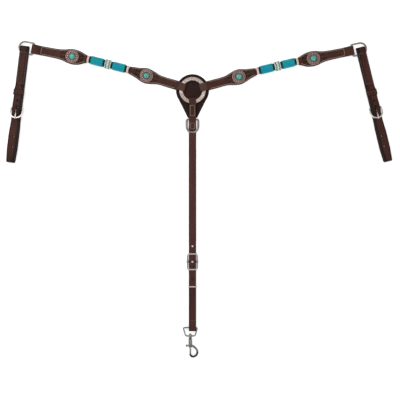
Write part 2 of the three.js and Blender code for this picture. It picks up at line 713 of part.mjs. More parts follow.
// One side of the collar, drawn towards +X.
function addSide(parent, { name, inner, beads, outer, tug }) {
  const beadsStart = ahead([0, 0], INNER_LENGTH, inner);
  const beadsEnd = ahead(beadsStart, BEADS_LENGTH, beads);
  const arcCentre = ahead(beadsEnd, OUTER_LENGTH + DEE_BAR_TO_ARC, outer);

  const innerGroup = turnedGroup(parent, `${name}_inner`, 0, 0, inner);
  addPiece(innerGroup, `${name}_inner_strap`, innerStrap(), leather);
  addPiece(innerGroup, `${name}_inner_liner`, innerLiner(), darkLeather);
  addPiece(innerGroup, `${name}_inner_concho`, concho(), copper, [INNER_CONCHO, 0, 0]);
  addPiece(innerGroup, `${name}_inner_stone`, conchoStone(), stone, [INNER_CONCHO, 0, 0]);

  const beadGroup = turnedGroup(parent, `${name}_beads`, ...beadsStart, beads);
  addPiece(beadGroup, `${name}_bead_core`, beadCore(BEADS_LENGTH), darkLeather);
  let start = GAP;
  BEADS.forEach(([bead, profile, length, look]) => {
    addPiece(beadGroup, `${name}_${bead}`, turned(profile, start, BEAD_Z), look);
    start += length + GAP;
  });

  const outerGroup = turnedGroup(parent, `${name}_outer`, ...beadsEnd, outer);
  addPiece(outerGroup, `${name}_outer_strap`, outerStrap(), leather);
  addPiece(outerGroup, `${name}_outer_liner`, outerLiner(), darkLeather);
  addPiece(outerGroup, `${name}_outer_concho`, concho(), copper, [OUTER_CONCHO, 0, 0]);
  addPiece(outerGroup, `${name}_outer_stone`, conchoStone(), stone, [OUTER_CONCHO, 0, 0]);
  addPiece(outerGroup, `${name}_side_dee`, sideDee(), nickel, [OUTER_LENGTH, 0, 0]);

  const tugGroup = turnedGroup(parent, `${name}_tug`, ...arcCentre, tug - 90);
  addPiece(tugGroup, `${name}_tug_strap`, tugStrap(), leather);
  addPiece(tugGroup, `${name}_tug_keeper`, tugKeeper(), darkLeather);
  addPiece(tugGroup, `${name}_tug_buckle`, buckleFrame(), nickel);
  addPiece(tugGroup, `${name}_tug_tongue`, buckleTongue(), nickel);
}

const collar = new THREE.Group();
addPiece(collar, "centre_ring", centreRing(), nickel);

const rightSide = new THREE.Group();
addSide(rightSide, RIGHT);
const leftSide = new THREE.Group();
leftSide.scale.x = -1;
addSide(leftSide, LEFT);
collar.add(rightSide, leftSide);

const hanger = turnedGroup(collar, "hanger", 0, 0, -90);
addPiece(hanger, "ring_safe", ringSafe(), darkLeather);
addPiece(hanger, "hanger_strap", hangerStrap(), leather);
addPiece(hanger, "centre_dee", centreDee(), nickel);
addPiece(hanger, "tie_down_strap", tieDownStrap(), leather);
addPiece(hanger, "lower_loop_strap", lowerLoopStrap(), darkLeather);
addPiece(hanger, "conway_buckle", conwayBuckle(), nickel);
addPiece(hanger, "metal_keeper", metalKeeper(), nickel);
addPiece(hanger, "snap_eye", snapEye(), chrome);
addPiece(hanger, "snap_body", snapBody(), chrome);
addPiece(hanger, "snap_bolt", snapBolt(), chrome);
addPiece(hanger, "snap_thumb_knob", snapKnob(), chrome);

// The frame's origin is the middle of the ground that the laid-out collar covers.
collar.updateMatrixWorld(true);
const bounds = new THREE.Box3().setFromObject(collar, true);
const middle = bounds.getCenter(new THREE.Vector3());
collar.position.set(-middle.x, -middle.y, -bounds.min.z);

const breastplate = new THREE.Group();
breastplate.add(collar);

export default breastplate;
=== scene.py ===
import json
import math

import bmesh
import bpy
import numpy as np
from mathutils import Matrix, Vector


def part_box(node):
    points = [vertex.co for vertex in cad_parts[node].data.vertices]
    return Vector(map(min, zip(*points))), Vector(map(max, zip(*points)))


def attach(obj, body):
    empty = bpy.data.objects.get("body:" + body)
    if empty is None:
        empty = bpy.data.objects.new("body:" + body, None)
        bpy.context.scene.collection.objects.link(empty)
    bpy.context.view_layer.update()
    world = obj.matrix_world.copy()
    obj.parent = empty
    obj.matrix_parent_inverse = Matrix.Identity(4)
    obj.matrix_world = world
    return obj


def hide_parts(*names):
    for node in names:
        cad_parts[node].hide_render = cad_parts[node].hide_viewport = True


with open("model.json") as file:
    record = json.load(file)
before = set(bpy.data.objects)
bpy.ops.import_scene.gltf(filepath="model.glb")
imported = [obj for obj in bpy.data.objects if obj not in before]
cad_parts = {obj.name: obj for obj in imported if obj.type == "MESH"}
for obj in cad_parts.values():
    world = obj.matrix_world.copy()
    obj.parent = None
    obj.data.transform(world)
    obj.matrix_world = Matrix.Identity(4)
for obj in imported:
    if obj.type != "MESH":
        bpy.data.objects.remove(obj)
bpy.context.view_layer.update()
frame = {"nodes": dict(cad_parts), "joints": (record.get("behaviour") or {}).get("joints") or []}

# Looks of a western breastplate laid flat. Each strap, bead and buckle is built in millimetres in
# its own frame (u along the strap, v across it, z up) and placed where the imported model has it.
MM = 0.001
LEATHER = 2.6
GAP = 0.3
LOW = LEATHER / 2  # middle height of a strap on the ground
SECOND = LOW + LEATHER + GAP  # and of one that lies on it
RING_Z = 7.8
FOLD = 3.6  # radius of a strap turned round the ring or a buckle's bar
PI = math.pi
JOINTS = {joint["name"]: joint for joint in frame["joints"]}


# ---- where things are


def middle(name):
    low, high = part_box(name)
    return (low + high) / 2


def joint_at(name):
    """A joint's place, brought down to the ground."""
    return Vector((*JOINTS[name]["pos_m"][:2], 0))


def placed(origin, direction, mirror=1):
    """Matrix from a frame in millimetres, with u along the direction, to the row frame."""
    along = Vector((direction[0], direction[1], 0)).normalized()
    across = Vector((-along.y, along.x, 0)) * mirror
    return Matrix(((along.x * MM, across.x * MM, 0, origin[0]),
                   (along.y * MM, across.y * MM, 0, origin[1]),
                   (0, 0, MM, 0), (0, 0, 0, 1)))


def moved(matrix, u, v=0.0, z=0.0):
    return matrix @ Matrix.Translation((u, v, z))


def to_world(shape, matrix):
    points, faces = shape
    return points @ np.array(matrix.to_3x3()).T + np.array(matrix.translation), faces


# ---- profiles


def ramp(x, start, run):
    """0 up to the start and 1 from a run past it. A negative run goes the other way."""
    return np.clip((x - start) / run, 0, 1)


def line_at(x, centre, width):
    """1 at the centre, fading out about two widths to each side."""
    return np.exp(-(((x - centre) / width) ** 2))


def mound(x, centre, reach):
    """1 at the centre, down to 0 a reach to each side."""
    return np.clip(1 - ((x - centre) / reach) ** 2, 0, 1)


def full_turn(count):
    return np.linspace(0, 2 * PI, count, endpoint=False)


def length_along(points):
    """Length along a polyline up to each of its points."""
    return np.concatenate([[0], np.cumsum(np.linalg.norm(np.diff(points, axis=0), axis=1))])


def quarter_round(t):
    """From 1 down to 0 along a quarter circle, as t goes from 0 to 1."""
    return 1 - np.sqrt(1 - (1 - t) ** 2)


# ---- shapes, as grids of points in millimetres


def arc(centre_u, centre_z, radius, start, end, steps=12):
    angles = np.radians(np.linspace(start, end, steps + 1))
    return [(centre_u + radius * math.cos(a), centre_z + radius * math.sin(a)) for a in angles]


def fillet(points, radius, closed=False):
    """The polyline with each corner rounded off, no further than near the middle of its sides."""
    points = [np.array(p, float) for p in points]
    count = len(points)
    made = [] if closed else [points[0]]
    for i in range(count) if closed else range(1, count - 1):
        corner, before, after = points[i], points[i - 1], points[(i + 1) % count]
        back, ahead = before - corner, after - corner
        a = min(radius / np.linalg.norm(back), 0.45)
        b = min(radius / np.linalg.norm(ahead), 0.45)
        start, end = corner + back * a, corner + ahead * b
        for t in np.linspace(0, 1, 5):
            made.append(start * (1 - t) ** 2 + 2 * corner * t * (1 - t) + end * t * t)
    return np.array(made if closed else made + [points[-1]])


def dense(points, step, closed=False):
    """The polyline with points added so that no side is longer than a step."""
    ends = list(points) + ([points[0]] if closed else [])
    made = []
    for a, b in zip(ends, ends[1:]):
        a, b = np.array(a), np.array(b)
        count = max(1, math.ceil(np.linalg.norm(b - a) / step))
        made += [a + (b - a) * k / count for k in range(count)]
    return np.array(made if closed else made + [np.array(ends[-1])])


def spline(points, steps=8):
    """A smooth open curve through the points."""
    p = [np.array(q, float) for q in points]
    p = [2 * p[0] - p[1]] + p + [2 * p[-1] - p[-2]]
    made = []
    for a, b, c, d in zip(p, p[1:], p[2:], p[3:]):
        for t in np.linspace(0, 1, steps, endpoint=False):
            made.append(0.5 * (2 * b + (c - a) * t + (2 * a - 5 * b + 4 * c - d) * t**2
                               + (3 * b - a - 3 * c + d) * t**3))
    return np.array(made + [p[-2]])


def grid(x, y, z):
    """The points of a grid from their coordinates, row by row."""
    return np.stack(np.broadcast_arrays(x, y, z), -1).reshape(-1, 3)


def tube_faces(rows, columns, closed):
    """Quads of a grid whose columns wrap round; its rows wrap too, or end in flat caps."""
    faces = []
    for i in range(rows if closed else rows - 1):
        k = (i + 1) % rows
        for j in range(columns):
            n = (j + 1) % columns
            faces.append((i * columns + j, i * columns + n, k * columns + n, k * columns + j))
    if not closed:
        faces.append(tuple(range(columns)))
        faces.append(tuple(range((rows - 1) * columns, rows * columns)))
    return faces


def sweep(path, a, b, power=2.0, plane="uv", closed=True, height=0.0, sides=16):
    """A bar along a flat path. Its section is a superellipse: a in the path's plane, b across it."""
    path = np.asarray(path, float)
    count = len(path)
    if closed:
        tangent = np.roll(path, -1, 0) - np.roll(path, 1, 0)
    else:
        tangent = np.gradient(path, axis=0)
    tangent /= np.linalg.norm(tangent, axis=1)[:, None]
    normal = tangent[:, ::-1] * (1, -1)
    a, b, p = (np.broadcast_to(value, count)[:, None] for value in (a, b, power))
    angle = full_turn(sides)[None]
    c, s = np.cos(angle), np.sin(angle)
    x = a * np.sign(c) * np.abs(c) ** (2 / p)
    y = b * np.sign(s) * np.abs(s) ** (2 / p)
    first, second = path[:, :1] + normal[:, :1] * x, path[:, 1:] + normal[:, 1:] * x
    third = y + height
    order = {"uv": (first, second, third), "vz": (third, first, second), "uz": (first, third, second)}
    return grid(*order[plane]), tube_faces(count, sides, closed)


def lathe(profile, segments=48, axis="u", closed=False, radius_at=None):
    """A solid turned about an axis. Profile points are (along, radius)."""
    angle = full_turn(segments)[None]
    along, radius = (np.array(profile)[:, k : k + 1] + 0 * angle for k in (0, 1))
    if radius_at:
        along, radius = radius_at(along, radius, angle)
    c, s = radius * np.cos(angle), radius * np.sin(angle)
    order = {"u": (along, c, s), "z": (c, s, along), "v": (s, along, c)}
    return grid(*order[axis]), tube_faces(len(profile), segments, closed)


def joined(*parts):
    """Several (points, faces) as one."""
    faces, start = [], 0
    for points, own in parts:
        faces += [tuple(i + start for i in face) for face in own]
        start += len(points)
    return np.concatenate([points for points, _ in parts]), faces


# ---- pieces


def new_mesh(name, shape):
    """A mesh from (points, faces) in the row frame, its faces turned outwards."""
    points, faces = shape
    mesh = bpy.data.meshes.new(name)
    mesh.from_pydata(points.tolist(), [], faces)
    work = bmesh.new()
    work.from_mesh(mesh)
    bmesh.ops.recalc_face_normals(work, faces=work.faces)
    work.to_mesh(mesh)
    work.free()
    return mesh


def new_object(name, data):
    made = bpy.data.objects.new(name, data)
    bpy.context.scene.collection.objects.link(made)
    return made


def piece(name, shape, matrix, body, slot, look, replaced=(), attributes=None, sharp=50):
    """A mesh object in the row frame, riding on its body. Attributes are one number a point."""
    mesh = new_mesh(name, to_world(shape, matrix))
    for key, values in (attributes or {}).items():
        data = mesh.attributes.new(key, "FLOAT", "POINT").data
        data.foreach_set("value", np.asarray(values, np.float32).ravel())
    mesh.shade_smooth()
    mesh.set_sharp_from_angle(angle=math.radians(sharp))
    mesh.materials.append(look)
    made = new_object(name, mesh)
    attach(made, body)
    if replaced:
        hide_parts(*replaced)
    return made


def cut(made, matrix, tools):
    """Cuts closed (points, faces) tools, given in the matrix's frame, out of a piece."""
    cutter = new_object("cutter", new_mesh("cutter", joined(*[to_world(tool, matrix) for tool in tools])))
    modifier = made.modifiers.new("cut", "BOOLEAN")
    modifier.operation = "DIFFERENCE"
    modifier.solver = "EXACT"
    modifier.object = cutter
    bpy.context.view_layer.update()
    graph = bpy.context.evaluated_depsgraph_get()
    result = bpy.data.meshes.new_from_object(made.evaluated_get(graph))
    made.modifiers.clear()
    made.data = result
    bpy.data.objects.remove(cutter)


def shifted(shape, u, v=0.0, z=0.0):
    points, faces = shape
    return points + np.array((u, v, z)), faces


HOLE_RADIUS = 2.4
POST_HOLE_RADIUS = 2.5
ABOVE_ALL = 30


def drill(u, low=-2, radius=HOLE_RADIUS):
    """The shape of a punched hole: an upright cylinder from a height to above the leather."""
    return shifted(lathe([(low, radius), (ABOVE_ALL, radius)], 20, "z"), u)


def block(size, centre):
    """An upright box."""
    corners = np.array([[x, y, z] for x in (-1, 1) for y in (-1, 1) for z in (-1, 1)], float)
    faces = [(0, 1, 3, 2), (4, 6, 7, 5), (0, 4, 5, 1), (2, 3, 7, 6), (0, 2, 6, 4), (1, 5, 7, 3)]
    return corners * np.array(size) / 2 + np.array(centre), faces


# ---- leather straps

# Columns of a strap's face near its edge: distances in from the edge, and how far each lies low.
EDGE_RADIUS = 0.9
EDGE_ANGLES = [math.radians(a) for a in (0, 30, 60, 90)]
NEAR_EDGE = [1.5, 2.2, 2.6, 3.0, 3.4, 4.0]
EDGE_COLUMNS = [EDGE_RADIUS * (1 - math.cos(a)) for a in EDGE_ANGLES] + NEAR_EDGE
EDGE_DROPS = [EDGE_RADIUS * (1 - math.sin(a)) for a in EDGE_ANGLES] + [0] * len(NEAR_EDGE)
CREASE = 3.0
BEND = 3.5  # rounding of the corners in a strap's side path
SQUARE = (1.2, 1.2)  # a tip's reach along the strap, and how much it takes off the half width


def crease(s, u, v, rim):
    """Height and shade of a pressed line near the edge, with the ridge outside it lighter: rub and painted
    highlight.
    """
    line = line_at(rim, CREASE, 0.35)
    ridge = line_at(rim, 2.15, 0.3)
    return -0.3 * line, 0.35 * line - 0.6 * ridge


class Strap:
    """A strap swept along its side path (u, z), with rounded edges and a pressed surface."""

    def __init__(self, path, half_width, show=-1, columns=8, step=1.6, tips=(SQUARE, SQUARE),
                 relief=crease):
        self.half = LEATHER / 2
        self.relief = relief
        self.columns = columns
        path = dense(fillet(path, BEND), step)
        length = length_along(path)
        total = length[-1]
        near = [[reach * (1 - math.cos(PI / 2 * k / 7)) for k in range(1, 8)] for reach, _ in tips]
        s = np.unique(np.round(np.concatenate([length, near[0], total - np.array(near[1])]), 3))
        s = s[np.concatenate([[True], np.diff(s) > 0.02])]
        self.s = s
        self.u = np.interp(s, length, path[:, 0])
        self.z = np.interp(s, length, path[:, 1])
        tangent = np.stack([np.gradient(self.u, s), np.gradient(self.z, s)], 1)
        tangent /= np.linalg.norm(tangent, axis=1)[:, None]
        self.normal = tangent[:, ::-1] * (-show, show)
        widths = half_width(self.u) if callable(half_width) else np.full(len(s), half_width)
        for (reach, drop), distance in zip(tips, (s, total - s)):
            t = np.clip(distance / reach, 0, 1)
            widths = widths - np.minimum(drop, widths - 0.3) * quarter_round(t)
        self.widths = widths
        self.thin = np.ones(len(s))
        for distance in (s, total - s):
            t = np.clip(distance / EDGE_RADIUS, 0, 1)
            self.thin *= 0.45 + 0.55 * np.sqrt(1 - (1 - t) ** 2)

    def s_at(self, u, last=False):
        """Length along the path where it passes u, for the first or the last time."""
        crossings = np.nonzero((self.u[:-1] - u) * (self.u[1:] - u) <= 0)[0]
        i = crossings[-1] if last else crossings[0]
        share = (u - self.u[i]) / (self.u[i + 1] - self.u[i])
        return self.s[i] + share * (self.s[i + 1] - self.s[i])

    def at(self, s, v, lift=0.0):
        """Points on the show face, (n, 3)."""
        reach = self.half + lift
        u = np.interp(s, self.s, self.u) + np.interp(s, self.s, self.normal[:, 0]) * reach
        z = np.interp(s, self.s, self.z) + np.interp(s, self.s, self.normal[:, 1]) * reach
        return np.stack(np.broadcast_arrays(u, v, z), -1)

    def width_at(self, s):
        return np.interp(s, self.s, self.widths)

    def shape(self):
        """(points, faces), and the attributes rim, ink and flesh of each point."""
        w = self.widths[:, None]
        scale = np.minimum(1, w / 4.8)
        edge = [w - e * scale for e in EDGE_COLUMNS]
        between = [edge[-1] * (1 - 2 * k / self.columns) for k in range(1, self.columns)]
        v_top = np.concatenate(edge + between + [-e for e in reversed(edge)], 1)
        drop = np.array(EDGE_DROPS + [0] * len(between) + EDGE_DROPS[::-1])[None]
        t_top = (self.half - drop) * self.thin[:, None]
        rim = w - np.abs(v_top)
        dz, ink = self.relief(self.s[:, None], self.u[:, None], v_top, rim)
        t_top = t_top + dz
        last = v_top.shape[1] - 1
        under = [k for k in range(1, last) if k < 5 or k > last - 5 or k % 4 == 0][::-1]
        v_low = v_top[:, under]
        t_low = -(self.half - drop[:, under]) * self.thin[:, None]
        v = np.concatenate([v_top, v_low], 1)
        t = np.concatenate([t_top, t_low], 1)
        points = grid(self.u[:, None] + self.normal[:, :1] * t, v, self.z[:, None] + self.normal[:, 1:] * t)
        rims = np.concatenate([rim, rim[:, under]], 1)
        inks_and_shades = np.concatenate([np.broadcast_to(ink, v_top.shape), np.zeros(v_low.shape)], 1)
        flesh = np.concatenate([np.zeros(v_top.shape), np.clip(rim[:, under] - 0.6, 0, 1)], 1)
        faces = tube_faces(len(self.s), v.shape[1], False)
        return (points, faces), {"rim": rims, "ink": inks_and_shades, "flesh": flesh}

    def make(self, name, matrix, body, slot, look, replaced):
        self.place = matrix, body
        shape, attributes = self.shape()
        return piece(name, shape, matrix, body, slot, look, [replaced], attributes, 40)


SUNK = -0.06  # the thread's axis lies this far below the leather's face


def stitches(name, strap, lines, look, pitch=2.4, length=2.2, width=1.1):
    """Thread laid along lines of (s, v) on a strap that has been made."""
    rings, sides, height = 6, 6, 0.7
    angle = full_turn(sides)
    along = -np.cos(np.linspace(0.35, PI - 0.35, rings))
    unit = np.array([[a, math.sqrt(1 - a * a) * math.cos(q), math.sqrt(1 - a * a) * math.sin(q)]
                     for a in along for q in angle])
    faces = tube_faces(rings, sides, False)
    parts = []
    for line in lines:
        line = np.array(line, float)
        run = length_along(line)
        for start in np.arange(0.4, run[-1] - length * 0.6, pitch):
            ends = []
            for d in (start, min(start + length, run[-1])):
                s, v = (np.interp(d, run, line[:, k]) for k in (0, 1))
                ends.append(strap.at(s, v, SUNK))
            x = (ends[1] - ends[0]) / 2
            up = np.cross(x, (0, 1, 0)) if abs(x[1]) < 0.8 * np.linalg.norm(x) else np.array((0, 0, 1.0))
            up = up if up[2] > 0 else -up
            up = up / np.linalg.norm(up)
            y = np.cross(up, x)
            y = y / np.linalg.norm(y)
            points = (ends[0] + ends[1]) / 2 + unit @ np.stack([x, y * width / 2, up * height / 2])
            parts.append((points, faces))
    return piece(name, joined(*parts), *strap.place, "cream_rawhide", look)


def edge_lines(strap, first, last, inset=CREASE):
    """Two stitch lines a little way inside the strap's edges, from one u to another."""
    start, end = strap.s_at(first), strap.s_at(last)
    s = np.linspace(start, end, max(2, int(abs(end - start) / 2)))
    v = strap.width_at(s) - inset
    return [np.stack([s, side * v], 1) for side in (1, -1)]


def cross_line(strap, u, last=False):
    """A stitch line across the strap, from crease to crease."""
    s = strap.s_at(u, last)
    half = float(strap.width_at(s)) - CREASE
    return [(s, -half), (s, half)]


def rectangle(strap, first, last, half):
    corners = [(strap.s_at(u), side * half) for u, side in ((first, -1), (first, 1), (last, 1), (last, -1))]
    return list(zip(corners, corners[1:] + corners[:1]))


def widths_from(pairs):
    """A smooth half-width along u through the pairs given."""
    fine = spline(pairs, 6)
    return lambda u: np.interp(u, fine[:, 0], fine[:, 1])


# ---- materials


def feed(tree, socket, value):
    """Links an output to the socket, or sets a plain value on it."""
    if isinstance(value, bpy.types.NodeSocket):
        tree.links.new(value, socket)
    else:
        socket.default_value = value


def node(tree, kind, inputs=None, **settings):
    made = tree.nodes.new("ShaderNode" + kind)
    for key, value in settings.items():
        setattr(made, key, value)
    for key, value in (inputs or {}).items():
        feed(tree, made.inputs[key], value)
    return made


def mix(tree, factor, a, b, mode="MIX"):
    made = node(tree, "Mix", data_type="RGBA", blend_type=mode)
    for index, value in ((0, factor), (6, a), (7, b)):
        feed(tree, made.inputs[index], (*value, 1) if isinstance(value, tuple) else value)
    return made.outputs[2]


def place(tree, stretch=(1, 1, 1)):
    where = node(tree, "TexCoord").outputs["Object"]
    return node(tree, "Mapping", {"Vector": where, "Scale": stretch}).outputs[0]


def noise(tree, where, scale, detail=4.0, roughness=0.55, distortion=0.0):
    inputs = {"Vector": where, "Scale": scale, "Detail": detail, "Roughness": roughness,
              "Distortion": distortion}
    return node(tree, "TexNoise", inputs).outputs["Fac"]


def cells(tree, where, scale):
    """Distance from the borders of irregular cells."""
    made = node(tree, "TexVoronoi", {"Vector": where, "Scale": scale}, feature="DISTANCE_TO_EDGE")
    return made.outputs["Distance"]


def spread(tree, value, low, high, to_low=0.0, to_high=1.0):
    inputs = {"Value": value, "From Min": low, "From Max": high, "To Min": to_low, "To Max": to_high}
    return node(tree, "MapRange", inputs).outputs["Result"]


def tint(tree, colour, towards, value, *limits):
    """The colour, going over to another as the value passes through its limits."""
    return mix(tree, spread(tree, value, *limits), colour, towards)


def attribute(tree, name):
    return node(tree, "Attribute", attribute_name=name, attribute_type="GEOMETRY").outputs["Fac"]


def new_material(name):
    """A material, its node tree, and the place on the object as a texture coordinate."""
    made = bpy.data.materials.new(name)
    made.use_nodes = True
    made.node_tree.nodes.clear()
    return made, made.node_tree, place(made.node_tree)


def bump(tree, height, strength, distance, normal=None):
    inputs = {"Height": height, "Strength": strength, "Distance": distance}
    if normal:
        inputs["Normal"] = normal
    return node(tree, "Bump", inputs).outputs[0]


def finish_shader(tree, colour, roughness, normal, **sockets):
    inputs = {"Base Color": colour, "Roughness": roughness, "Normal": normal}
    inputs.update({key.replace("_", " "): value for key, value in sockets.items()})
    shader = node(tree, "BsdfPrincipled", inputs)
    tree.links.new(shader.outputs[0], node(tree, "OutputMaterial").inputs[0])


# Colours for rub with painted highlight, for burnished edges with painted shade, and for suede.
RUB_AND_HIGHLIGHT = (0.235, 0.16, 0.135)
BURNISH_AND_SHADE = (0.01, 0.005, 0.004)
SUEDE = (0.105, 0.052, 0.036)


def leather(name, deep, body, warm, gloss=0.5, streaks=(1, 1, 1)):
    """Leather from three tones. Rim is the distance from an edge, burnished dark there with painted shade of
    the edge's side. Ink and shade darkens from 0 to 1, and from 0 to -1 goes lighter with rub and painted
    highlight. Flesh is the rough back.
    """
    made, t, where = new_material(name)
    patch = noise(t, place(t, streaks), 34, 5, 0.6, 0.4)
    fine = noise(t, where, 420, 4)
    pores = cells(t, where, 1150)
    fibre = noise(t, where, 2600, 2)
    colour = tint(t, body, warm, patch, 0.36, 0.64)
    colour = tint(t, colour, deep, fine, 0.42, 0.72, 0, 0.6)
    colour = tint(t, colour, deep, pores, 0.0, 0.12, 0.45, 0.0)
    rim, ink, flesh = (attribute(t, key) for key in ("rim", "ink", "flesh"))
    suede = mix(t, spread(t, fibre, 0.3, 0.7), SUEDE, tuple(0.55 * c for c in SUEDE))
    colour = mix(t, flesh, colour, suede)
    # Dark near the edge: burnished edge with painted shade of its side; negative ink gives rub and painted
    # highlight.
    colour = tint(t, colour, BURNISH_AND_SHADE, rim, 0.9, 2.0, 0.85, 0.0)
    colour = tint(t, colour, BURNISH_AND_SHADE, ink, 0, 1)
    rub_and_highlight = node(t, "Math", {0: spread(t, ink, 0, -1), 1: spread(t, fine, 0.3, 0.6, 0.5, 1.0)},
                  operation="MULTIPLY").outputs[0]
    colour = mix(t, rub_and_highlight, colour, RUB_AND_HIGHLIGHT)
    rough = spread(t, fine, 0.3, 0.7, gloss - 0.08, gloss + 0.12)
    rough = node(t, "Math", {0: rough, 1: spread(t, flesh, 0, 1, 0, 0.3)}, operation="ADD").outputs[0]
    normal = bump(t, pores, 0.35, 0.00025)
    normal = bump(t, fibre, 0.25, 0.00012, normal)
    normal = bump(t, patch, 0.3, 0.002, normal)
    finish_shader(t, colour, rough, normal, Specular_IOR_Level=0.14)
    return made


def wrapped(name, body, second, end, gloss=0.45, patches=60, bound=0.3):
    """Dyed cord or rawhide. Ink and shade 0 to 1 goes to the end colour: dark ends and bands, and painted
    shade in grooves.
    """
    made, t, where = new_material(name)
    patch = noise(t, where, patches, 3, 0.5, 0.6)
    fine = noise(t, where, 900, 3)
    colour = tint(t, body, second, patch, 0.44, 0.6)
    colour = mix(t, spread(t, fine, 0.45, 0.8, 0, bound), colour, end)
    colour = tint(t, colour, end, attribute(t, "ink"), 0, 1)
    rough = spread(t, fine, 0.3, 0.7, gloss - 0.08, gloss + 0.15)
    normal = bump(t, fine, 0.3, 0.0002)
    finish_shader(t, colour, rough, normal, Specular_IOR_Level=0.2)
    return made


def metal(name, bright, second, patina, rough_low, rough_high, patches=90, tarnish=0.25):
    """Worn metal in two tones. Ink and shade 0 to 1 goes to the patina colour: patina in its hollows, and a
    painted reflection of dark on the snap's hook.
    """
    made, t, where = new_material(name)
    patch = noise(t, where, patches, 4, 0.55, 0.5)
    fine = noise(t, where, 1500, 3)
    scratches = noise(t, place(t, (1, 0.06, 1)), 2600, 2)
    colour = tint(t, bright, second, patch, 0.4, 0.62)
    colour = mix(t, spread(t, fine, 0.5, 0.85, 0, tarnish), colour, patina)
    colour = tint(t, colour, patina, attribute(t, "ink"), 0, 1)
    rough = spread(t, patch, 0.3, 0.7, rough_low, rough_high)
    normal = bump(t, scratches, 0.06, 0.00005)
    normal = bump(t, fine, 0.08, 0.00008, normal)
    finish_shader(t, colour, rough, normal, Metallic=1.0)
    return made


def turquoise_stone(name):
    made, t, where = new_material(name)
    bent = node(t, "TexNoise", {"Vector": where, "Scale": 240, "Detail": 3}).outputs["Color"]
    shifted = mix(t, 0.012, (0, 0, 0), bent, "ADD")
    veins_at = node(t, "VectorMath", {0: where, 1: shifted}, operation="ADD").outputs[0]
    veins = cells(t, veins_at, 170)
    patch = noise(t, where, 110, 4, 0.6, 0.8)
    colour = tint(t, (0.045, 0.4, 0.36), (0.11, 0.56, 0.47), patch, 0.4, 0.6)
    colour = tint(t, colour, (0.02, 0.24, 0.2), patch, 0.55, 0.75, 0, 0.6)
    colour = tint(t, colour, (0.035, 0.045, 0.03), veins, 0.0, 0.055, 0.85, 0.0)
    rough = spread(t, patch, 0.3, 0.7, 0.16, 0.3)
    normal = bump(t, veins, 0.2, 0.0002)
    finish_shader(t, colour, rough, normal, Specular_IOR_Level=0.45, Coat_Weight=0.2)
    return made


def floor_material():
    made, t, where = new_material("studio_floor")
    grain = noise(t, where, 900, 3)
    colour = tint(t, (0.93, 0.93, 0.93), (0.96, 0.96, 0.96), grain, 0.3, 0.7)
    finish_shader(t, colour, 0.8, bump(t, grain, 0.05, 0.0001), Specular_IOR_Level=0.1,
                  Emission_Color=(1, 1, 1, 1), Emission_Strength=0.5)
    return made


GRAINED = (1, 0.35, 1)
BROWN = leather("strap_leather", (0.02, 0.008, 0.006), (0.062, 0.022, 0.014), (0.098, 0.03, 0.018))
RED_BROWN = leather("tug_leather", (0.016, 0.006, 0.004), (0.055, 0.018, 0.012), (0.092, 0.023, 0.015),
                    0.44, GRAINED)
TIE_BROWN = leather("tie_down_leather", (0.024, 0.009, 0.007), (0.08, 0.027, 0.021),
                    (0.12, 0.037, 0.028), 0.44, GRAINED)
SMOOTH = leather("lower_loop_leather", (0.018, 0.007, 0.006), (0.06, 0.021, 0.017), (0.095, 0.029, 0.022),
                 0.42, (1, 0.3, 1))
DARK = leather("safe_leather", (0.007, 0.003, 0.002), (0.022, 0.008, 0.006), (0.044, 0.012, 0.009), 0.55)
THREAD = wrapped("thread", (0.42, 0.3, 0.25), (0.5, 0.38, 0.33), (0.15, 0.09, 0.07), 0.6, 300)
THREAD_DARK = wrapped("dark_thread", (0.15, 0.095, 0.075), (0.21, 0.14, 0.115), (0.05, 0.03, 0.022), 0.6, 300)
CREAM = wrapped("cream_rawhide", (0.86, 0.7, 0.61), (0.9, 0.8, 0.73), (0.33, 0.17, 0.13), 0.5)
TURQUOISE = wrapped("turquoise_wrap", (0, 0.385, 0.425), (0, 0.335, 0.5), (0.002, 0.06, 0.06), 0.42, 55, 0.15)
BRAID = wrapped("braid", (0.78, 0.88, 0.8), (0.62, 0.76, 0.68), (0.01, 0.085, 0.055), 0.5, 200, 0.1)
NICKEL = metal("nickel", (0.72, 0.66, 0.625), (0.62, 0.565, 0.53), (0.05, 0.03, 0.025), 0.2, 0.38)
RING_METAL = metal("engraved_nickel", (0.56, 0.475, 0.43), (0.43, 0.36, 0.325), (0.06, 0.034, 0.027),
                   0.24, 0.4)
DULL_METAL = metal("worn_nickel", (0.3, 0.26, 0.24), (0.21, 0.175, 0.155), (0.035, 0.022, 0.018), 0.22, 0.4)
CHROME = metal("chrome", (0.33, 0.33, 0.315), (0.19, 0.19, 0.178), (0.025, 0.024, 0.02), 0.1, 0.24)
COPPER = metal("antique_copper", (0.4, 0.235, 0.215), (0.31, 0.28, 0.235), (0.022, 0.01, 0.008),
               0.3, 0.48, 130, 0.35)
STONE = turquoise_stone("turquoise")


# ---- tooling


WEAVE_CELL = 4.4


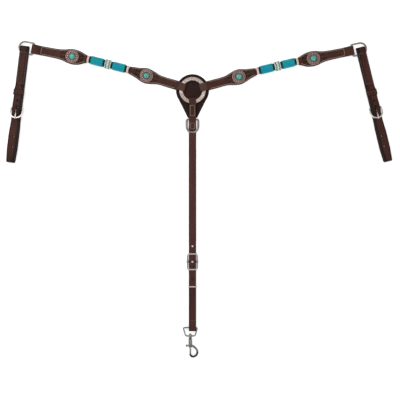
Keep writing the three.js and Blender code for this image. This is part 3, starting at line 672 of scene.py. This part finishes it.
def tooled_round(concho, seam_at, seam_end, rub_and_highlight=0.0):
    """Petals pressed into a matted ground at both ends of a concho, the petals lighter with rub and painted
    highlight, and a pressed line across the strap on its layer up to seam_end. The turn round the ring may be
    lighter, rub and painted highlight.
    """

    def relief(s, u, v, rim):
        dz, ink = crease(s, u, v, rim)
        rho = np.hypot(u - concho, v)
        turn = np.degrees(np.arctan2(np.abs(v), np.abs(u - concho)))
        band = ramp(rho, 19.5, 1.2) * ramp(rho, 33, -3)
        band = band * ramp(turn, 56, -8) * ramp(rim, 4.2, 0.8)
        off = (turn + 11) % 22 - 11
        across = rho * np.radians(np.abs(off))
        petal = np.clip(1.15 - np.hypot((rho - 25.5) / 5.6, across / 3.7), 0, 0.4) / 0.4
        vein = line_at(across, 0, 0.5) * (rho < 29)
        matted = 0.5 + 0.5 * np.sin(u * 3.9) * np.sin(v * 3.9)
        dz = dz - band * (0.42 * (1 - petal) + 0.1 * matted * (1 - petal) + 0.22 * vein * petal)
        ink = ink + band * (0.75 * (1 - petal) - 0.12 * petal + 0.3 * vein * petal)
        seam = line_at(u, seam_at, 0.5) * (s < seam_end) * (rim > 1.5)
        return dz - 0.3 * seam, ink + 0.5 * seam - rub_and_highlight * ramp(u, 44, -6)

    return relief


def bordered(wide, depth=0.65):
    """Painted shade along both edges, wider on the side where v is negative."""

    def relief(s, u, v, rim):
        dz, ink = crease(s, u, v, rim)
        reach = np.where(v < 0, wide, CREASE)
        return dz, ink + depth * ramp(rim, reach, -1)

    return relief


def woven(x, y):
    """Basket stamping: bars that run one way and the other by turns. Height 0 to 1."""
    flip = (np.floor(x / WEAVE_CELL) + np.floor(y / WEAVE_CELL)) % 2
    a, b = x / WEAVE_CELL % 1, y / WEAVE_CELL % 1
    across = np.where(flip > 0, a, b)
    along = np.where(flip > 0, b, a)
    bars = np.abs(np.sin(across * 3 * PI))
    return bars * np.clip(np.minimum(along, 1 - along) * 8, 0, 1)


# ---- metal and bead pieces


RING_RADIUS = 31.65
RING_MOTIFS = 18


def ring_shape():
    """The centre ring, with a vine and leaves cut into its flat top between beaded borders."""
    half, thick, corner, columns = 5.15, 2.0, 0.7, 26
    section = [(x, thick) for x in np.linspace(-half + corner, half - corner, columns)]
    section += [(half - corner + corner * math.sin(a), thick - corner + corner * math.cos(a))
                for a in (PI / 6, PI / 3, PI / 2)]
    section += [(x, -y) for x, y in reversed(section[-3:])]
    section += [(x, -thick) for x in np.linspace(half - corner, -half + corner, 5)]
    section += [(-x, y) for x, y in reversed(section[columns:columns + 6])]
    x = np.array([p[0] for p in section])[None]
    y = np.array([p[1] for p in section])[None]
    angle = full_turn(560)[:, None]
    run = angle * RING_RADIUS
    cell = 2 * PI * RING_RADIUS / RING_MOTIFS
    vine = 1.7 * np.sin(run / cell * 2 * PI)
    depth = 0.9 * line_at(x, vine, 0.32)
    for side in (1, -1):
        where = (run / cell + (0.25 if side > 0 else 0.75)) % 1 - 0.5
        leaf = np.hypot(where * cell / 2.4, (x + side * 1.7) / 1.15)
        depth = depth + 0.9 * line_at(leaf, 1, 0.2)
        depth = depth + 0.6 * line_at(x + side * 1.7, where * 1.4, 0.2) * (leaf < 0.8)
        dots = np.hypot((where % 0.5 - 0.25) * cell * 0.9, x - side * 3.0)
        depth = depth + line_at(dots, 0, 0.42)
    border = line_at(np.abs(x), 3.9, 0.22)
    depth = np.clip(depth, 0, 1) * (np.abs(x) < 3.8) + border
    top = y > thick - 0.05
    depth = np.clip(depth, 0, 1) * top
    rope = 0.12 * (np.sin(angle * 120) - 1) * line_at(np.abs(x), 4.35, 0.35) * top
    radius = RING_RADIUS + x
    points = grid(radius * np.cos(angle), radius * np.sin(angle), y - 0.32 * depth + rope)
    ink = np.clip(0.55 * depth - 3 * rope + 0.8 * (np.abs(x) > 4.6), 0, 0.85)
    return (points, tube_faces(len(angle), len(section), True)), {"ink": ink}


def concho_shape():
    """A scalloped rosette: a beaded rim, sixteen petals, a rope ring and a bezel for the stone."""
    radii = np.concatenate([np.linspace(0.05, 7.2, 5), np.linspace(7.6, 18.9, 44)])
    angle = full_turn(192)[None]
    r = radii[:, None] + 0 * angle
    edge = 18.4 + 0.7 * np.cos(16 * angle)
    r = np.where(r > 15, 15 + (r - 15) * (edge - 15) / 3.9, r)
    z = 7.6 + 0.5 * np.cos(r / 19 * PI / 2)
    petal = np.abs(np.cos(8 * angle)) ** 0.9
    field = ramp(r, 9.6, 0.8) * ramp(r, 15.2, -1)
    scoop = field * (0.75 * petal - 0.55) - field * 0.25 * line_at(np.cos(8 * angle) ** 2, 1, 0.02)
    z = z + scoop
    beads = mound(r, 16.8, 0.95) * (0.45 + 0.55 * np.cos(48 * angle))
    z = z + 0.5 * beads - 0.35 * line_at(r, 15.5, 0.3)
    rope = mound(r, 9.0, 0.65)
    z = z + rope * (0.45 + 0.3 * np.sin(40 * angle + r * 3))
    z = z + mound(r, 8.0, 0.5) * 1.1
    z = z - 1.1 * ramp(r, 17.9, 1.1) ** 2
    ink = 0.95 * field * (1 - petal) + 0.9 * line_at(r, 15.5, 0.6)
    ink = ink + 0.8 * line_at(r, 9.2, 1.0) + 0.5 * np.clip(-beads, 0, 1)
    ink = ink + 0.8 * ramp(r, 17.3, 0.8) * (1 - np.cos(16 * angle)) / 2
    under = [(18.0, 6.2), (17.5, 5.8), (2.4, 5.8), (2.2, 5.5), (2.2, GAP), (0.05, GAP)]
    low_r, low_z = (np.array(under)[:, k : k + 1] + 0 * angle for k in (0, 1))
    r, z = np.concatenate([r, low_r]), np.concatenate([z, low_z])
    ink = np.clip(np.concatenate([ink, 0 * low_r]), 0, 0.9)
    points = grid(r * np.cos(angle), r * np.sin(angle), z)
    return (points, tube_faces(len(r), angle.shape[1], False)), {"ink": ink}


def stone_shape(turn):
    """A low polished dome, not quite even."""
    base, girdle, rise, radius_most = 8.3, 8.8, 2.7, 7.6
    t = np.linspace(0.01, PI / 2, 16)
    profile = [(girdle + rise * math.cos(a), radius_most * math.sin(a)) for a in t]
    profile += [(base, 7.55), (base, 0.05)]

    def uneven(along, radius, angle):
        wave = 0.12 * np.sin(2 * angle + turn) + 0.06 * np.sin(3 * angle + 2 * turn)
        return along + wave * (along > girdle + 0.1) * radius / radius_most, radius

    return lathe(profile, 48, "z", False, uneven)


BORE_RADIUS = 4.2
SPACER_LENGTH = 5.5
WASHER_LENGTH = 2.6
BARREL_LENGTH = 38.0
KNOT_LENGTH = 17.0


def bead(length, radius_of, ink_and_shade_of, step=0.28, segments=96):
    """A bead along u from 0, bored through. The radius and ink come from (along, angle)."""
    along = np.linspace(0, length, max(8, int(length / step)))[:, None]
    angle = full_turn(segments)[None]
    radius = radius_of(along, angle) + 0 * along * angle
    ink = ink_and_shade_of(along, angle) + 0 * along * angle
    bore = np.full((2, segments), BORE_RADIUS)
    r = np.concatenate([radius, bore])
    x = np.concatenate([along, [[length], [0]]])
    points = grid(x, r * np.cos(angle), r * np.sin(angle))
    ink = np.concatenate([ink, bore * 0])
    return (points, tube_faces(len(r), segments, True)), {"ink": np.clip(ink, 0, 1)}


def end_drop(x, length, reach, drop):
    """How far a bead's surface falls away towards its two ends."""
    return drop * quarter_round(np.clip(np.minimum(x, length - x) / reach, 0, 1))


def barrel():
    """Cord wound round a barrel, dark at both ends."""
    length, pitch = BARREL_LENGTH, 1.55
    turns = lambda x, a: np.abs(np.sin(PI * (x / pitch - a / (2 * PI))))
    radius = lambda x, a: (11.7 - end_drop(x, length, 4.2, 2.8) - 0.32 * (1 - turns(x, a))
                           + 0.05 * np.sin(3 * a + x / 5))
    ends = lambda x: ramp(np.minimum(x, length - x), 3.2, -1.6)
    # Painted shade in the grooves between turns.
    return bead(length, radius, lambda x, a: ends(x) + 0.55 * (1 - turns(x, a)) ** 2)


def knot():
    """Zigzag plaiting in six bands, two of them dark."""
    length, pitch, zigs = KNOT_LENGTH, KNOT_LENGTH / 6, 9
    tri = lambda a: np.abs((a * zigs / PI) % 2 - 1) * 2 - 1
    place_of = lambda x, a: (x - 1.35 * tri(a)) / pitch
    off = lambda x, a: np.abs(place_of(x, a) % 1 - 0.5) * 2
    over = lambda x, a: 0.2 * np.cos(2 * zigs * a + PI * np.floor(place_of(x, a)))
    radius = lambda x, a: (12.9 - end_drop(x, length, 3.4, 2.6)
                           - 0.85 * off(x, a) ** 2.2 + over(x, a) * (1 - off(x, a)))
    dark = lambda x, a: np.isin(np.floor(place_of(x, a)), (1, 4))
    # Painted shade on the lines between strands.
    return bead(length, radius, lambda x, a: 0.9 * dark(x, a) + 0.6 * (off(x, a) > 0.86), 0.25, 162)


def spacer():
    """Rawhide wound twice, with fine grooves."""
    length = SPACER_LENGTH
    ridge = lambda x: np.abs(np.sin(PI * (x - 0.1) / 2.65))
    radius = lambda x, a: (10.2 - end_drop(x, length, 0.9, 0.6) - 0.45 * (1 - ridge(x))
                           - 0.12 * (1 - np.cos(36 * a + 2 * x)) / 2)
    # Painted shade in the grooves.
    return bead(length, radius, lambda x, a: 0.5 * (1 - ridge(x)) ** 3 + 0.1 * (1 - np.cos(36 * a)) / 2)


def washer():
    """A leather washer."""
    radius = lambda x, a: 9.8 - end_drop(x, WASHER_LENGTH, 1.1, 0.8) + 0.07 * np.sin(5 * a)
    return bead(WASHER_LENGTH, radius, lambda x, a: 0.25)


def dee_path(half, arc_centre, corner=3.0):
    """A D from its bar at 0 to the arc about the centre given."""
    curve = arc(arc_centre, 0, half, -90, 90, 30)
    return dense(fillet([(0, half), (0, -half)] + curve, corner, True), 1.2, True)


def dee_shape(path, half_length, a, b, power, bar_radius=2.0):
    """A D swept along its path, with a round bar where the strap turns over it."""
    on_bar = (np.abs(path[:, 0]) < 0.1) & (np.abs(path[:, 1]) < half_length)
    k = np.convolve(on_bar.astype(float), np.ones(3) / 3, "same")
    a, b, power = a + (bar_radius - a) * k, b + (bar_radius - b) * k, power + (2 - power) * k
    return sweep(path, a, b, power, sides=24)


def loop_path(half, low, high, corner):
    """A closed rounded rectangle about a strap, as (v, z)."""
    return dense(fillet([(-half, low), (half, low), (half, high), (-half, high)], corner, True), 1.5, True)


# ---- one side

SPACER = (spacer, SPACER_LENGTH, CREAM, "cream_rawhide")
WASHER = (washer, WASHER_LENGTH, DARK, "dark_leather")
BARREL = (barrel, BARREL_LENGTH, TURQUOISE, "turquoise_wrap")
BEADS = {"spacer_inner": SPACER, "washer_1": WASHER, "barrel_bead_inner": BARREL, "washer_2": WASHER,
         "braided_knot": (knot, KNOT_LENGTH, BRAID, "braid"), "washer_3": WASHER,
         "barrel_bead_outer": BARREL, "washer_4": WASHER, "spacer_outer": SPACER}
BEAD_Z = 12.9
INNER_CONCHO = 133
OUTER_CONCHO = 44
STRAP_START = 0.3  # of the outer strap, at the beads
STRAP_END = 182.7  # of the inner strap, at the beads
TAB_TOP = 11.3
TAB_UNDER = 4.7
DEE_BAR = 153
DEE_Z = 5.2
BAR_FOLD = 3.9  # radius of a strap turned round the side dee


def add_shoulder(side, where, matrix, strap, lines, liner, concho, turn):
    """A stitched strap on its liner, both punched for the concho's post, and the concho."""
    body, name, at = f"{side}_shoulder", f"{side}_{where}", moved(matrix, concho)
    made = strap.make(f"{name}_strap_leather", matrix, body, "leather", BROWN, f"{name}_strap")
    cut(made, matrix, [drill(concho, -1, POST_HOLE_RADIUS)])
    stitches(f"{name}_stitching", strap, lines, THREAD, width=1.35)
    made = liner.make(f"{name}_liner_leather", matrix, body, "dark_leather", DARK, f"{name}_liner")
    cut(made, matrix, [drill(concho, -1, POST_HOLE_RADIUS)])
    shape, attributes = concho_shape()
    piece(f"{name}_concho_rosette", shape, at, body, "copper", COPPER, [f"{name}_concho"], attributes, 60)
    piece(f"{name}_concho_stone", stone_shape(turn), at, body, "turquoise_stone", STONE, [f"{name}_stone"])


def add_inner(side, matrix):
    widths = widths_from([(15, 10.6), (28, 10.6), (38, 10.7), (46, 12.4), (84, 12.6), (100, 13.8),
                          (116, 18.2), (133, 21), (146, 18.8), (160, 14.2), (185, 8.8)])
    path = [(STRAP_END, TAB_TOP), (171, TAB_TOP), (153, SECOND), (74, SECOND), (44, RING_Z + FOLD)]
    path += arc(25, RING_Z, FOLD, 90, 270) + [(58, SECOND), (66, LOW), (86, LOW)]
    strap = Strap(path, widths, columns=26, step=1.2, relief=tooled_round(INNER_CONCHO, 43, 170, 0.16))
    liner = Strap([(86.3, LOW), (154, LOW), (171, TAB_UNDER), (STRAP_END, TAB_UNDER)], widths, 1)
    add_shoulder(side, "inner", matrix, strap, edge_lines(strap, 177, 48), liner, INNER_CONCHO, 0.7)


def add_outer(side, matrix, reach):
    """The outer strap and its dee, whose arc's centre is a reach from its bar."""
    widths = widths_from([(0, 9), (10, 13), (24, 18.6), (40, 20.8), (54, 19.4), (70, 15.2), (90, 13.2),
                          (125, 12.6), (162, 12.6)])
    path = [(STRAP_START, TAB_TOP), (11, TAB_TOP), (24.5, SECOND), (133, SECOND), (147, DEE_Z + BAR_FOLD)]
    path += arc(DEE_BAR, DEE_Z, BAR_FOLD, 90, -90) + [(118, LOW)]
    strap = Strap(path, widths, 1, 26, 1.2, relief=tooled_round(OUTER_CONCHO, 134, 160))
    liner = Strap([(STRAP_START, TAB_UNDER), (11, TAB_UNDER), (23, LOW), (117.7, LOW)], widths, 1)
    lines = edge_lines(strap, 6, 131) + [cross_line(strap, 131)]
    add_shoulder(side, "outer", matrix, strap, lines, liner, OUTER_CONCHO, 2.1)
    wire = sweep(dee_path(16, reach), 2.3, 2.3, sides=20)
    piece(f"{side}_side_dee_wire", wire, moved(matrix, DEE_BAR, 0, DEE_Z), f"{side}_dee", "nickel",
          DULL_METAL, [f"{side}_side_dee"])


def add_beads(side, matrix):
    body, start = f"{side}_shoulder", GAP
    for name, (maker, length, look, slot) in BEADS.items():
        shape, attributes = maker()
        piece(f"{side}_{name}_turned", shape, moved(matrix, start, 0, BEAD_Z), body, slot, look,
              [f"{side}_{name}"], attributes, 60)
        start += length + GAP
    core = frame["nodes"][f"{side}_bead_core"]
    core.data.materials.clear()
    core.data.materials.append(DARK)


TUG_KEEPER = 125
TUG_BUCKLE = 167
TONGUE_HOLE = 148
SPARE_HOLES = (247, 276)


def add_tug(side, matrix):
    """A tug strap: round the buckle's bar, over the dee, along the back, and up to the buckle again."""
    name = f"{side}_tug"
    path = [(142, SECOND)] + arc(TUG_BUCKLE, RING_Z, FOLD, -90, 90) + [(161, RING_Z + FOLD), (150, 9.1)]
    path += arc(0.7, DEE_Z, BAR_FOLD, 90, 270) + arc(312.5, 7.15, 5.85, -90, 90)
    path += [(240, 13), (220, 9.1), (187.5, 9.1), (174, 14.3), (158, 14.3), (146, 12), (104, 12)]
    half = lambda u: 12.3 + ramp(u, 205, 20) - 2.0 * ramp(u, 282, 32)
    border = bordered(7.5, 0.8)

    def relief(s, u, v, rim):
        dz, ink = border(s, u, v, rim)
        shaded = 0.45 * ramp(u, 45, -40) + 0.25 * ramp(u, 285, 20)
        return dz, ink + shaded

    strap = Strap(path, half, columns=12, relief=relief, tips=(SQUARE, (9, 9)))
    made = strap.make(f"{name}_leather", matrix, name, "leather", RED_BROWN, f"{name}_strap")
    slots = [block((14, 5.6, 10.1), (166, 0, 7.8)), block((11, 5.6, 3.4), (168.5, 0, 14.6))]
    cut(made, matrix, [drill(TONGUE_HOLE, 6)] + [drill(u) for u in SPARE_HOLES] + slots)
    lines = edge_lines(strap, 100, 14) + [cross_line(strap, 14), cross_line(strap, 100)]
    stitches(f"{name}_stitching", strap, lines, THREAD_DARK)
    keeper = sweep(loop_path(13.6, 6.5, 14.6, 2.6), 1, 8, 5, "vz", height=TUG_KEEPER, sides=32)
    ink = 0.8 * ramp(np.abs(keeper[0][:, 0] - TUG_KEEPER), 5.8, 1.2)
    piece(f"{name}_keeper_band", keeper, matrix, f"{side}_keeper", "dark_leather", RED_BROWN,
          [f"{name}_keeper"], {"ink": ink, "rim": 3 + 0 * ink})
    lean = moved(matrix, TUG_BUCKLE, 0, RING_Z) @ Matrix.Rotation(math.radians(-15), 4, "Y")
    frame_shape = dee_shape(dee_path(16.25, 13.5, 3.5), 12.9, 2.25, 2.0, 3.2)
    piece(f"{name}_buckle_frame", frame_shape, lean, f"{side}_buckle", "nickel", NICKEL, [f"{name}_buckle"])
    profile = [(-1.7, 2.3), (-1.7, 3.6), (-1.4, 3.9), (1.4, 3.9), (1.7, 3.6), (1.7, 2.3)]
    collar = shifted(lathe(profile, 32, "v", True), TUG_BUCKLE, 0, RING_Z)
    blade_path = dense(spline([(168.4, 10.4), (170.4, 15.4), (174, 18.1), (182, 18.6), (199.8, 18.9)]), 1.5)
    taper = np.clip((len(blade_path) - np.arange(len(blade_path))) / 3, 0.35, 1)
    blade = sweep(blade_path, 1.1 * taper, 1.7 * taper, 2.8, "uz", False)
    prong = joined(collar, blade)
    piece(f"{name}_tongue_prong", prong, matrix, f"{side}_tongue", "nickel", NICKEL,
          [f"{name}_tongue"], {"ink": 0.9 * ramp(prong[0][:, 0], 189, -8)})


for side, mirror in (("left", -1), ("right", 1)):
    ring_at = joint_at(f"{side}_shoulder_swing")
    dee_at, tug_at = joint_at(f"{side}_dee_tilt"), joint_at(f"{side}_tug_swing")
    inner_at, outer_at = middle(f"{side}_inner_concho"), middle(f"{side}_outer_concho")
    beads_from, beads_to = middle(f"{side}_spacer_inner"), middle(f"{side}_spacer_outer")
    add_inner(side, placed(ring_at, inner_at - ring_at, mirror))
    beads_frame = placed(beads_from, beads_to - beads_from, mirror)
    add_beads(side, moved(beads_frame, -GAP - SPACER_LENGTH / 2))
    outer_frame = placed(outer_at, dee_at - outer_at, mirror)
    add_outer(side, moved(outer_frame, -OUTER_CONCHO), (tug_at - dee_at).length / MM)
    add_tug(side, placed(tug_at, JOINTS[f"{side}_keeper_slide"]["axis"], mirror))


# ---- ring, hanger and lower strap

# Places along the hanger's frame, from the ring's centre.
HANGER = placed(ring_at, JOINTS["metal_keeper_slide"]["axis"])
CENTRE_DEE = 80.3
CONWAY = 471.5
TIE_DOWN_END_HOLE = 519
METAL_KEEPER = 540.4
SNAP_V, SNAP_Z = -6, 6.7


def add_rings():
    """The engraved ring, the centre dee and the metal keeper."""
    shape, attributes = ring_shape()
    piece("centre_ring_engraved", shape, moved(HANGER, 0, 0, RING_Z), "ring", "nickel", RING_METAL,
          ["centre_ring"], attributes, 60)
    shape = dee_shape(dee_path(16, 19, 3.5), 11.8, 3.0, 2.0, 2.8)
    piece("centre_dee_band", shape, moved(HANGER, CENTRE_DEE, 0, 4.9), "centre_dee", "nickel", DULL_METAL,
          ["centre_dee"])
    path = loop_path(11.6, 0.7, 8.0, 2.2)
    upright = ramp(np.abs(path[:, 0]), 9.5, 1.5)
    band = sweep(path, 0.6 + 0.5 * upright, 1.8, 3, "vz", height=METAL_KEEPER, sides=16)
    piece("metal_keeper_band", band, HANGER, "metal_keeper", "nickel", NICKEL, ["metal_keeper"])


def safe_outline():
    """A round about the ring's centre that runs to a neck in two hollow curves."""
    radius, start, end, neck = 45.4, 26, 75.3, 12.7
    angle = math.acos(start / radius)
    shoulder = radius * math.sin(angle)
    turn = np.linspace(angle, 2 * PI - angle, 90)
    curve = lambda t, side: ((1 - t) ** 2 * start + 2 * t * (1 - t) * 50 + t * t * end,
                             side * ((1 - t) ** 2 * shoulder + 2 * t * (1 - t) * 25 + t * t * neck))
    down = [curve(t, -1) for t in np.linspace(0, 1, 24)[1:]]
    up = [curve(t, 1) for t in np.linspace(1, 0, 24)[:-1]]
    points = [(radius * math.cos(a), radius * math.sin(a)) for a in turn] + down + up
    return dense(fillet(points, 1.5, True), 1.1, True)


def add_safe():
    """The safe, as rings of its outline: out over the top, round the edge and in under it."""
    outline = safe_outline()
    reach = np.linalg.norm(outline, axis=1)
    share = np.concatenate([[0.002], np.linspace(0.06, 0.93, 42)])[:, None]
    flat = [(inset, 0) for inset in (3.0, 2.5, 2.2, 1.9, 1.6, 1.2, 0.9)]
    edge = flat + [(0.4, 0.14), (0.12, 0.45), (0, 0.9), (0, 1.7), (0.12, 2.15), (0.4, 2.46), (0.9, 2.6)]
    rows = [outline * f for f in share] + [outline * (1 - inset / reach)[:, None] for inset, _ in edge]
    rows.append(outline * 0.002)
    drop = [0.0] * len(share) + [d for _, d in edge] + [LEATHER]
    points = np.array(rows)
    rim = reach[None] - np.linalg.norm(points, axis=2)
    u, v = points[:, :, 0], points[:, :, 1]
    top = (np.arange(len(rows)) < len(share) + len(flat))[:, None]
    line = line_at(rim, 2.2, 0.35) * top
    outside = ramp(np.hypot(u, v), 38, 1) * ramp(rim, 3, 0.6) * top
    stamped = woven((u + v) * 0.7071, (u - v) * 0.7071)
    z = LEATHER - np.array(drop)[:, None] - 0.28 * line - 0.3 * outside * (1 - stamped)
    flesh = (np.arange(len(rows)) > len(rows) - 3)[:, None] + 0 * z
    ink = 0.4 * line + outside * (0.55 * (1 - stamped) + 0.1)
    shape = (grid(u, v, z), tube_faces(len(rows), len(outline), False))
    piece("ring_safe_leather", shape, HANGER, "hanger", "dark_leather", DARK, ["ring_safe"],
          {"rim": np.where(top, rim, 0.5), "ink": ink, "flesh": flesh}, 40)


def add_hanger():
    path = [(110.5, SECOND), (92.5, SECOND), (85, 8.5), (76, 8.5), (72, 7.1), (60, 7.1), (44, RING_Z + FOLD)]
    path += arc(25, RING_Z, FOLD, 90, 270) + [(75, SECOND)]
    strap = Strap(path, 9.8, columns=10, tips=((6, 9), SQUARE))
    strap.make("hanger_leather", HANGER, "hanger", "leather", BROWN, "hanger_strap")
    lines = rectangle(strap, 70, 42, 6) + rectangle(strap, 106, 89, 6)
    stitches("hanger_stitching", strap, lines, THREAD, 3.1, 2.5, 1.2)


def add_tie_down():
    path = [(76.5, LOW), (424, LOW), (433, SECOND), (455.5, SECOND), (464, 7.1), (479, 7.1),
            (487.5, SECOND), (496.5, SECOND), (503, 5.8), (541, 5.8)]
    half = lambda u: 10 + 0.35 * ramp(u, 428, -16) * ramp(u, 92, 8)
    border = bordered(3.2, 0.4)

    def relief(s, u, v, rim):
        dz, ink = border(s, u, v, rim)
        return dz, ink + 0.9 * ramp(np.hypot(u - TIE_DOWN_END_HOLE, v), 4.2, -1.2)

    strap = Strap(path, half, 1, 14, tips=(SQUARE, (6, 9)), relief=relief)
    made = strap.make("tie_down_leather", HANGER, "hanger", "leather", TIE_BROWN, "tie_down_strap")
    cut(made, HANGER, [drill(u) for u in (429, CONWAY, TIE_DOWN_END_HOLE)])
    side, point = strap.s_at(119.5), strap.s_at(130.5)
    lines = [[(side, 6.4), (point, 0)], [(point, 0), (side, -6.4)]]
    lines += edge_lines(strap, 134, 420, 2.3) + edge_lines(strap, 508, 530, 2.3)
    stitches("tie_down_stitching", strap, lines, THREAD_DARK, 2.4, 2.1, 0.8)


def add_lower_loop():
    path = [(437, LOW), (457, LOW), (465, SECOND), (478, SECOND), (486, LOW), (496.5, LOW), (503, 2.9)]
    path += arc(657.5, 6.7, 3.8, -90, 90) + [(647, 10.5), (637, 5.8), (543.5, 5.8)]
    strap = Strap(path, 10, columns=10, relief=bordered(4.4))
    made = strap.make("lower_loop_leather_strap", HANGER, "hanger", "dark_leather", SMOOTH,
                      "lower_loop_strap")
    cut(made, HANGER, [drill(CONWAY)])
    stitches("lower_loop_stitching", strap, [cross_line(strap, 634, True)], THREAD_DARK)


def add_conway():
    """An oblong frame, a strut bent up to it from under the straps, and a stud through their holes."""
    outline = dense(fillet([(-21.4, -13), (21.4, -13), (21.4, 13), (-21.4, 13)], 3.4, True), 1.2, True)
    rail = ramp(np.abs(outline[:, 1]), 11, 1.5)
    oblong = sweep(outline, 2 - 0.1 * rail, 1.5, 3.4, sides=24, height=7.3)
    under = dense(fillet([(13.4, 8.2), (13.4, 1.5), (-13.4, 1.5), (-13.4, 8.2)], 2.4), 1.5)
    stout = ramp(np.abs(under[:, 0]), 10.5, 2.5)
    strut = sweep(under, 1.15 + 1.4 * stout, 3.5, 4, "vz", False, sides=24)
    stud = lathe([(1.0, 0.05), (1.0, 2), (9.3, 2), (9.6, 2.5), (10.2, 2.7), (10.7, 2.0), (10.9, 0.05)],
                 28, "z")
    shape = joined(oblong, strut, stud)
    along, across = np.abs(shape[0][:, 0]), np.abs(shape[0][:, 1])
    piece("conway_buckle_cast", shape, moved(HANGER, CONWAY), "hanger", "nickel", NICKEL,
          ["conway_buckle"], {"ink": 0.6 * ramp(across, 10.5, 1.5) * (along < 17.5)})


def add_snap():
    """The snap's eye, its barrel and hook, and the bolt with its thumb knob."""
    matrix = moved(HANGER, 0, SNAP_V, SNAP_Z)

    def cast(name, shape, body, replaced, attributes=None):
        return piece(name, shape, matrix, body, "chrome", CHROME, [replaced], attributes)

    outline = [(652.5, 19.5), (652.5, -19.5), (675.5, -13.2), (675.5, 13.2)]
    eye = sweep(dense(fillet(outline, 4.5, True), 1.3, True), 2, 2, sides=20)
    boss = lathe([(671.6, 2.1), (671.6, 4.0), (672.2, 4.6), (678.9, 4.6), (679.5, 4.0), (679.5, 2.1)],
                 40, closed=True)
    cast("snap_eye_wire", joined(eye, boss), "snap_eye", "snap_eye")
    barrel_profile = [(680, 0.05), (680, 2.4), (681.2, 4.0), (683, 4.4), (683.6, 5.2), (685.4, 5.2),
                      (686, 4.7), (687, 4.7), (687.6, 5.2), (703.4, 5.2), (704, 4.8), (704.6, 5.2),
                      (705.6, 5.2), (706, 4.8), (706, 2.9), (686.2, 2.8), (686.0, 0.05)]
    made = cast("snap_barrel_cast", lathe(barrel_profile, 48), "snap", "snap_body")
    cut(made, matrix, [block((14, 4, 3), (697.5, -4.4, 0))])
    head = lathe([(668.8, 0.05), (668.8, 2.6), (669.3, 3.4), (670.7, 3.4), (671.2, 2.6), (671.2, 1.7),
                  (681.0, 1.7), (681.0, 0.05)], 36)
    hook = dense(spline([(700.5, 2.5), (706.5, 12), (713.5, 18), (721, 19.3), (728, 16.5), (732, 10),
                         (731.3, 4), (727.5, 0.4), (723, 0)]), 1.2)
    from_tip = np.arange(len(hook))[::-1]
    width = 2.9 * np.minimum(1, 0.55 + 0.15 * from_tip)
    shank = joined(head, sweep(hook, width, width, 2.2, closed=False, sides=20))
    # Painted reflection of dark and painted shade towards the hook's bend.
    cast("snap_hook_cast", shank, "snap", "snap_body", {"ink": 0.85 * ramp(shank[0][:, 0], 708, 12)})
    bolt = lathe([(697.5, 0.05), (697.5, 2.0), (697.9, 2.4), (721.4, 2.4), (722.3, 1.8), (722.5, 0.05)], 32)
    cast("snap_bolt_pin", bolt, "bolt", "snap_bolt")
    knurl = lambda along, radius, angle: (along, radius - 0.18 * (1 - np.cos(24 * angle)) / 2 * (radius > 3))
    knob_profile = [(-2.2, 0.05), (-2.2, 2.7), (-1.6, 3.4), (1.6, 3.4), (2.2, 2.7), (2.2, 0.05)]
    knob = shifted(lathe(knob_profile, 96, "z", False, knurl), 702, -9.4)
    stem = sweep([(702, -2.7), (702, -5.0), (702, -8.9)], 1.1, 1.1, 4, closed=False)
    cast("snap_knob_grip", joined(stem, knob), "bolt", "snap_thumb_knob")


add_rings()
add_safe()
add_hanger()
add_tie_down()
add_lower_loop()
add_conway()
add_snap()


# ---- floor, light and camera


def add_floor():
    """A wide floor, a little below the lowest piece."""
    size, count, drop = 12.0, 24, 0.0008
    side = np.linspace(-size / 2, size / 2, count)
    points = [(x, y, -drop) for y in side for x in side]
    faces = [(j * count + i, j * count + i + 1, (j + 1) * count + i + 1, (j + 1) * count + i)
             for j in range(count - 1) for i in range(count - 1)]
    mesh = bpy.data.meshes.new("floor")
    mesh.from_pydata(points, [], faces)
    mesh.materials.append(floor_material())
    new_object("floor", mesh)


def add_light(name, at, size, power):
    data = bpy.data.lights.new(name, "AREA")
    data.shape, data.size, data.energy = "SQUARE", size, power
    light = new_object(name, data)
    light.location = at
    light.rotation_mode = "QUATERNION"
    light.rotation_quaternion = (-Vector(at)).to_track_quat("-Z", "Y")


def add_world():
    world = bpy.data.worlds.new("studio")
    world.use_nodes = True
    tree = world.node_tree
    tree.nodes.clear()
    up = node(tree, "SeparateXYZ", {0: node(tree, "TexCoord").outputs["Generated"]}).outputs["Z"]
    shade = mix(tree, spread(tree, up, 0.05, 0.8), (0.12, 0.12, 0.125), (1.0, 1.0, 1.0))
    back = node(tree, "Background", {"Color": shade, "Strength": 0.65})
    tree.links.new(back.outputs[0], node(tree, "OutputWorld").inputs[0])
    bpy.context.scene.world = world


def add_camera():
    view_width, height = 1.104, 2.0
    data = bpy.data.cameras.new("camera")
    data.sensor_width = 36
    data.lens = 36 * height / view_width
    camera = new_object("camera", data)
    camera.location = (0.0021, -0.0026, height)
    bpy.context.scene.camera = camera


add_floor()
add_light("key", (-0.9, 0.9, 1.9), 1.2, 13)
add_light("fill", (1.2, -0.3, 1.7), 1.4, 6)
add_light("low_left", (-1.3, -1.0, 1.4), 1.0, 4)
add_world()
add_camera()
bpy.context.scene.view_settings.view_transform = "Standard"
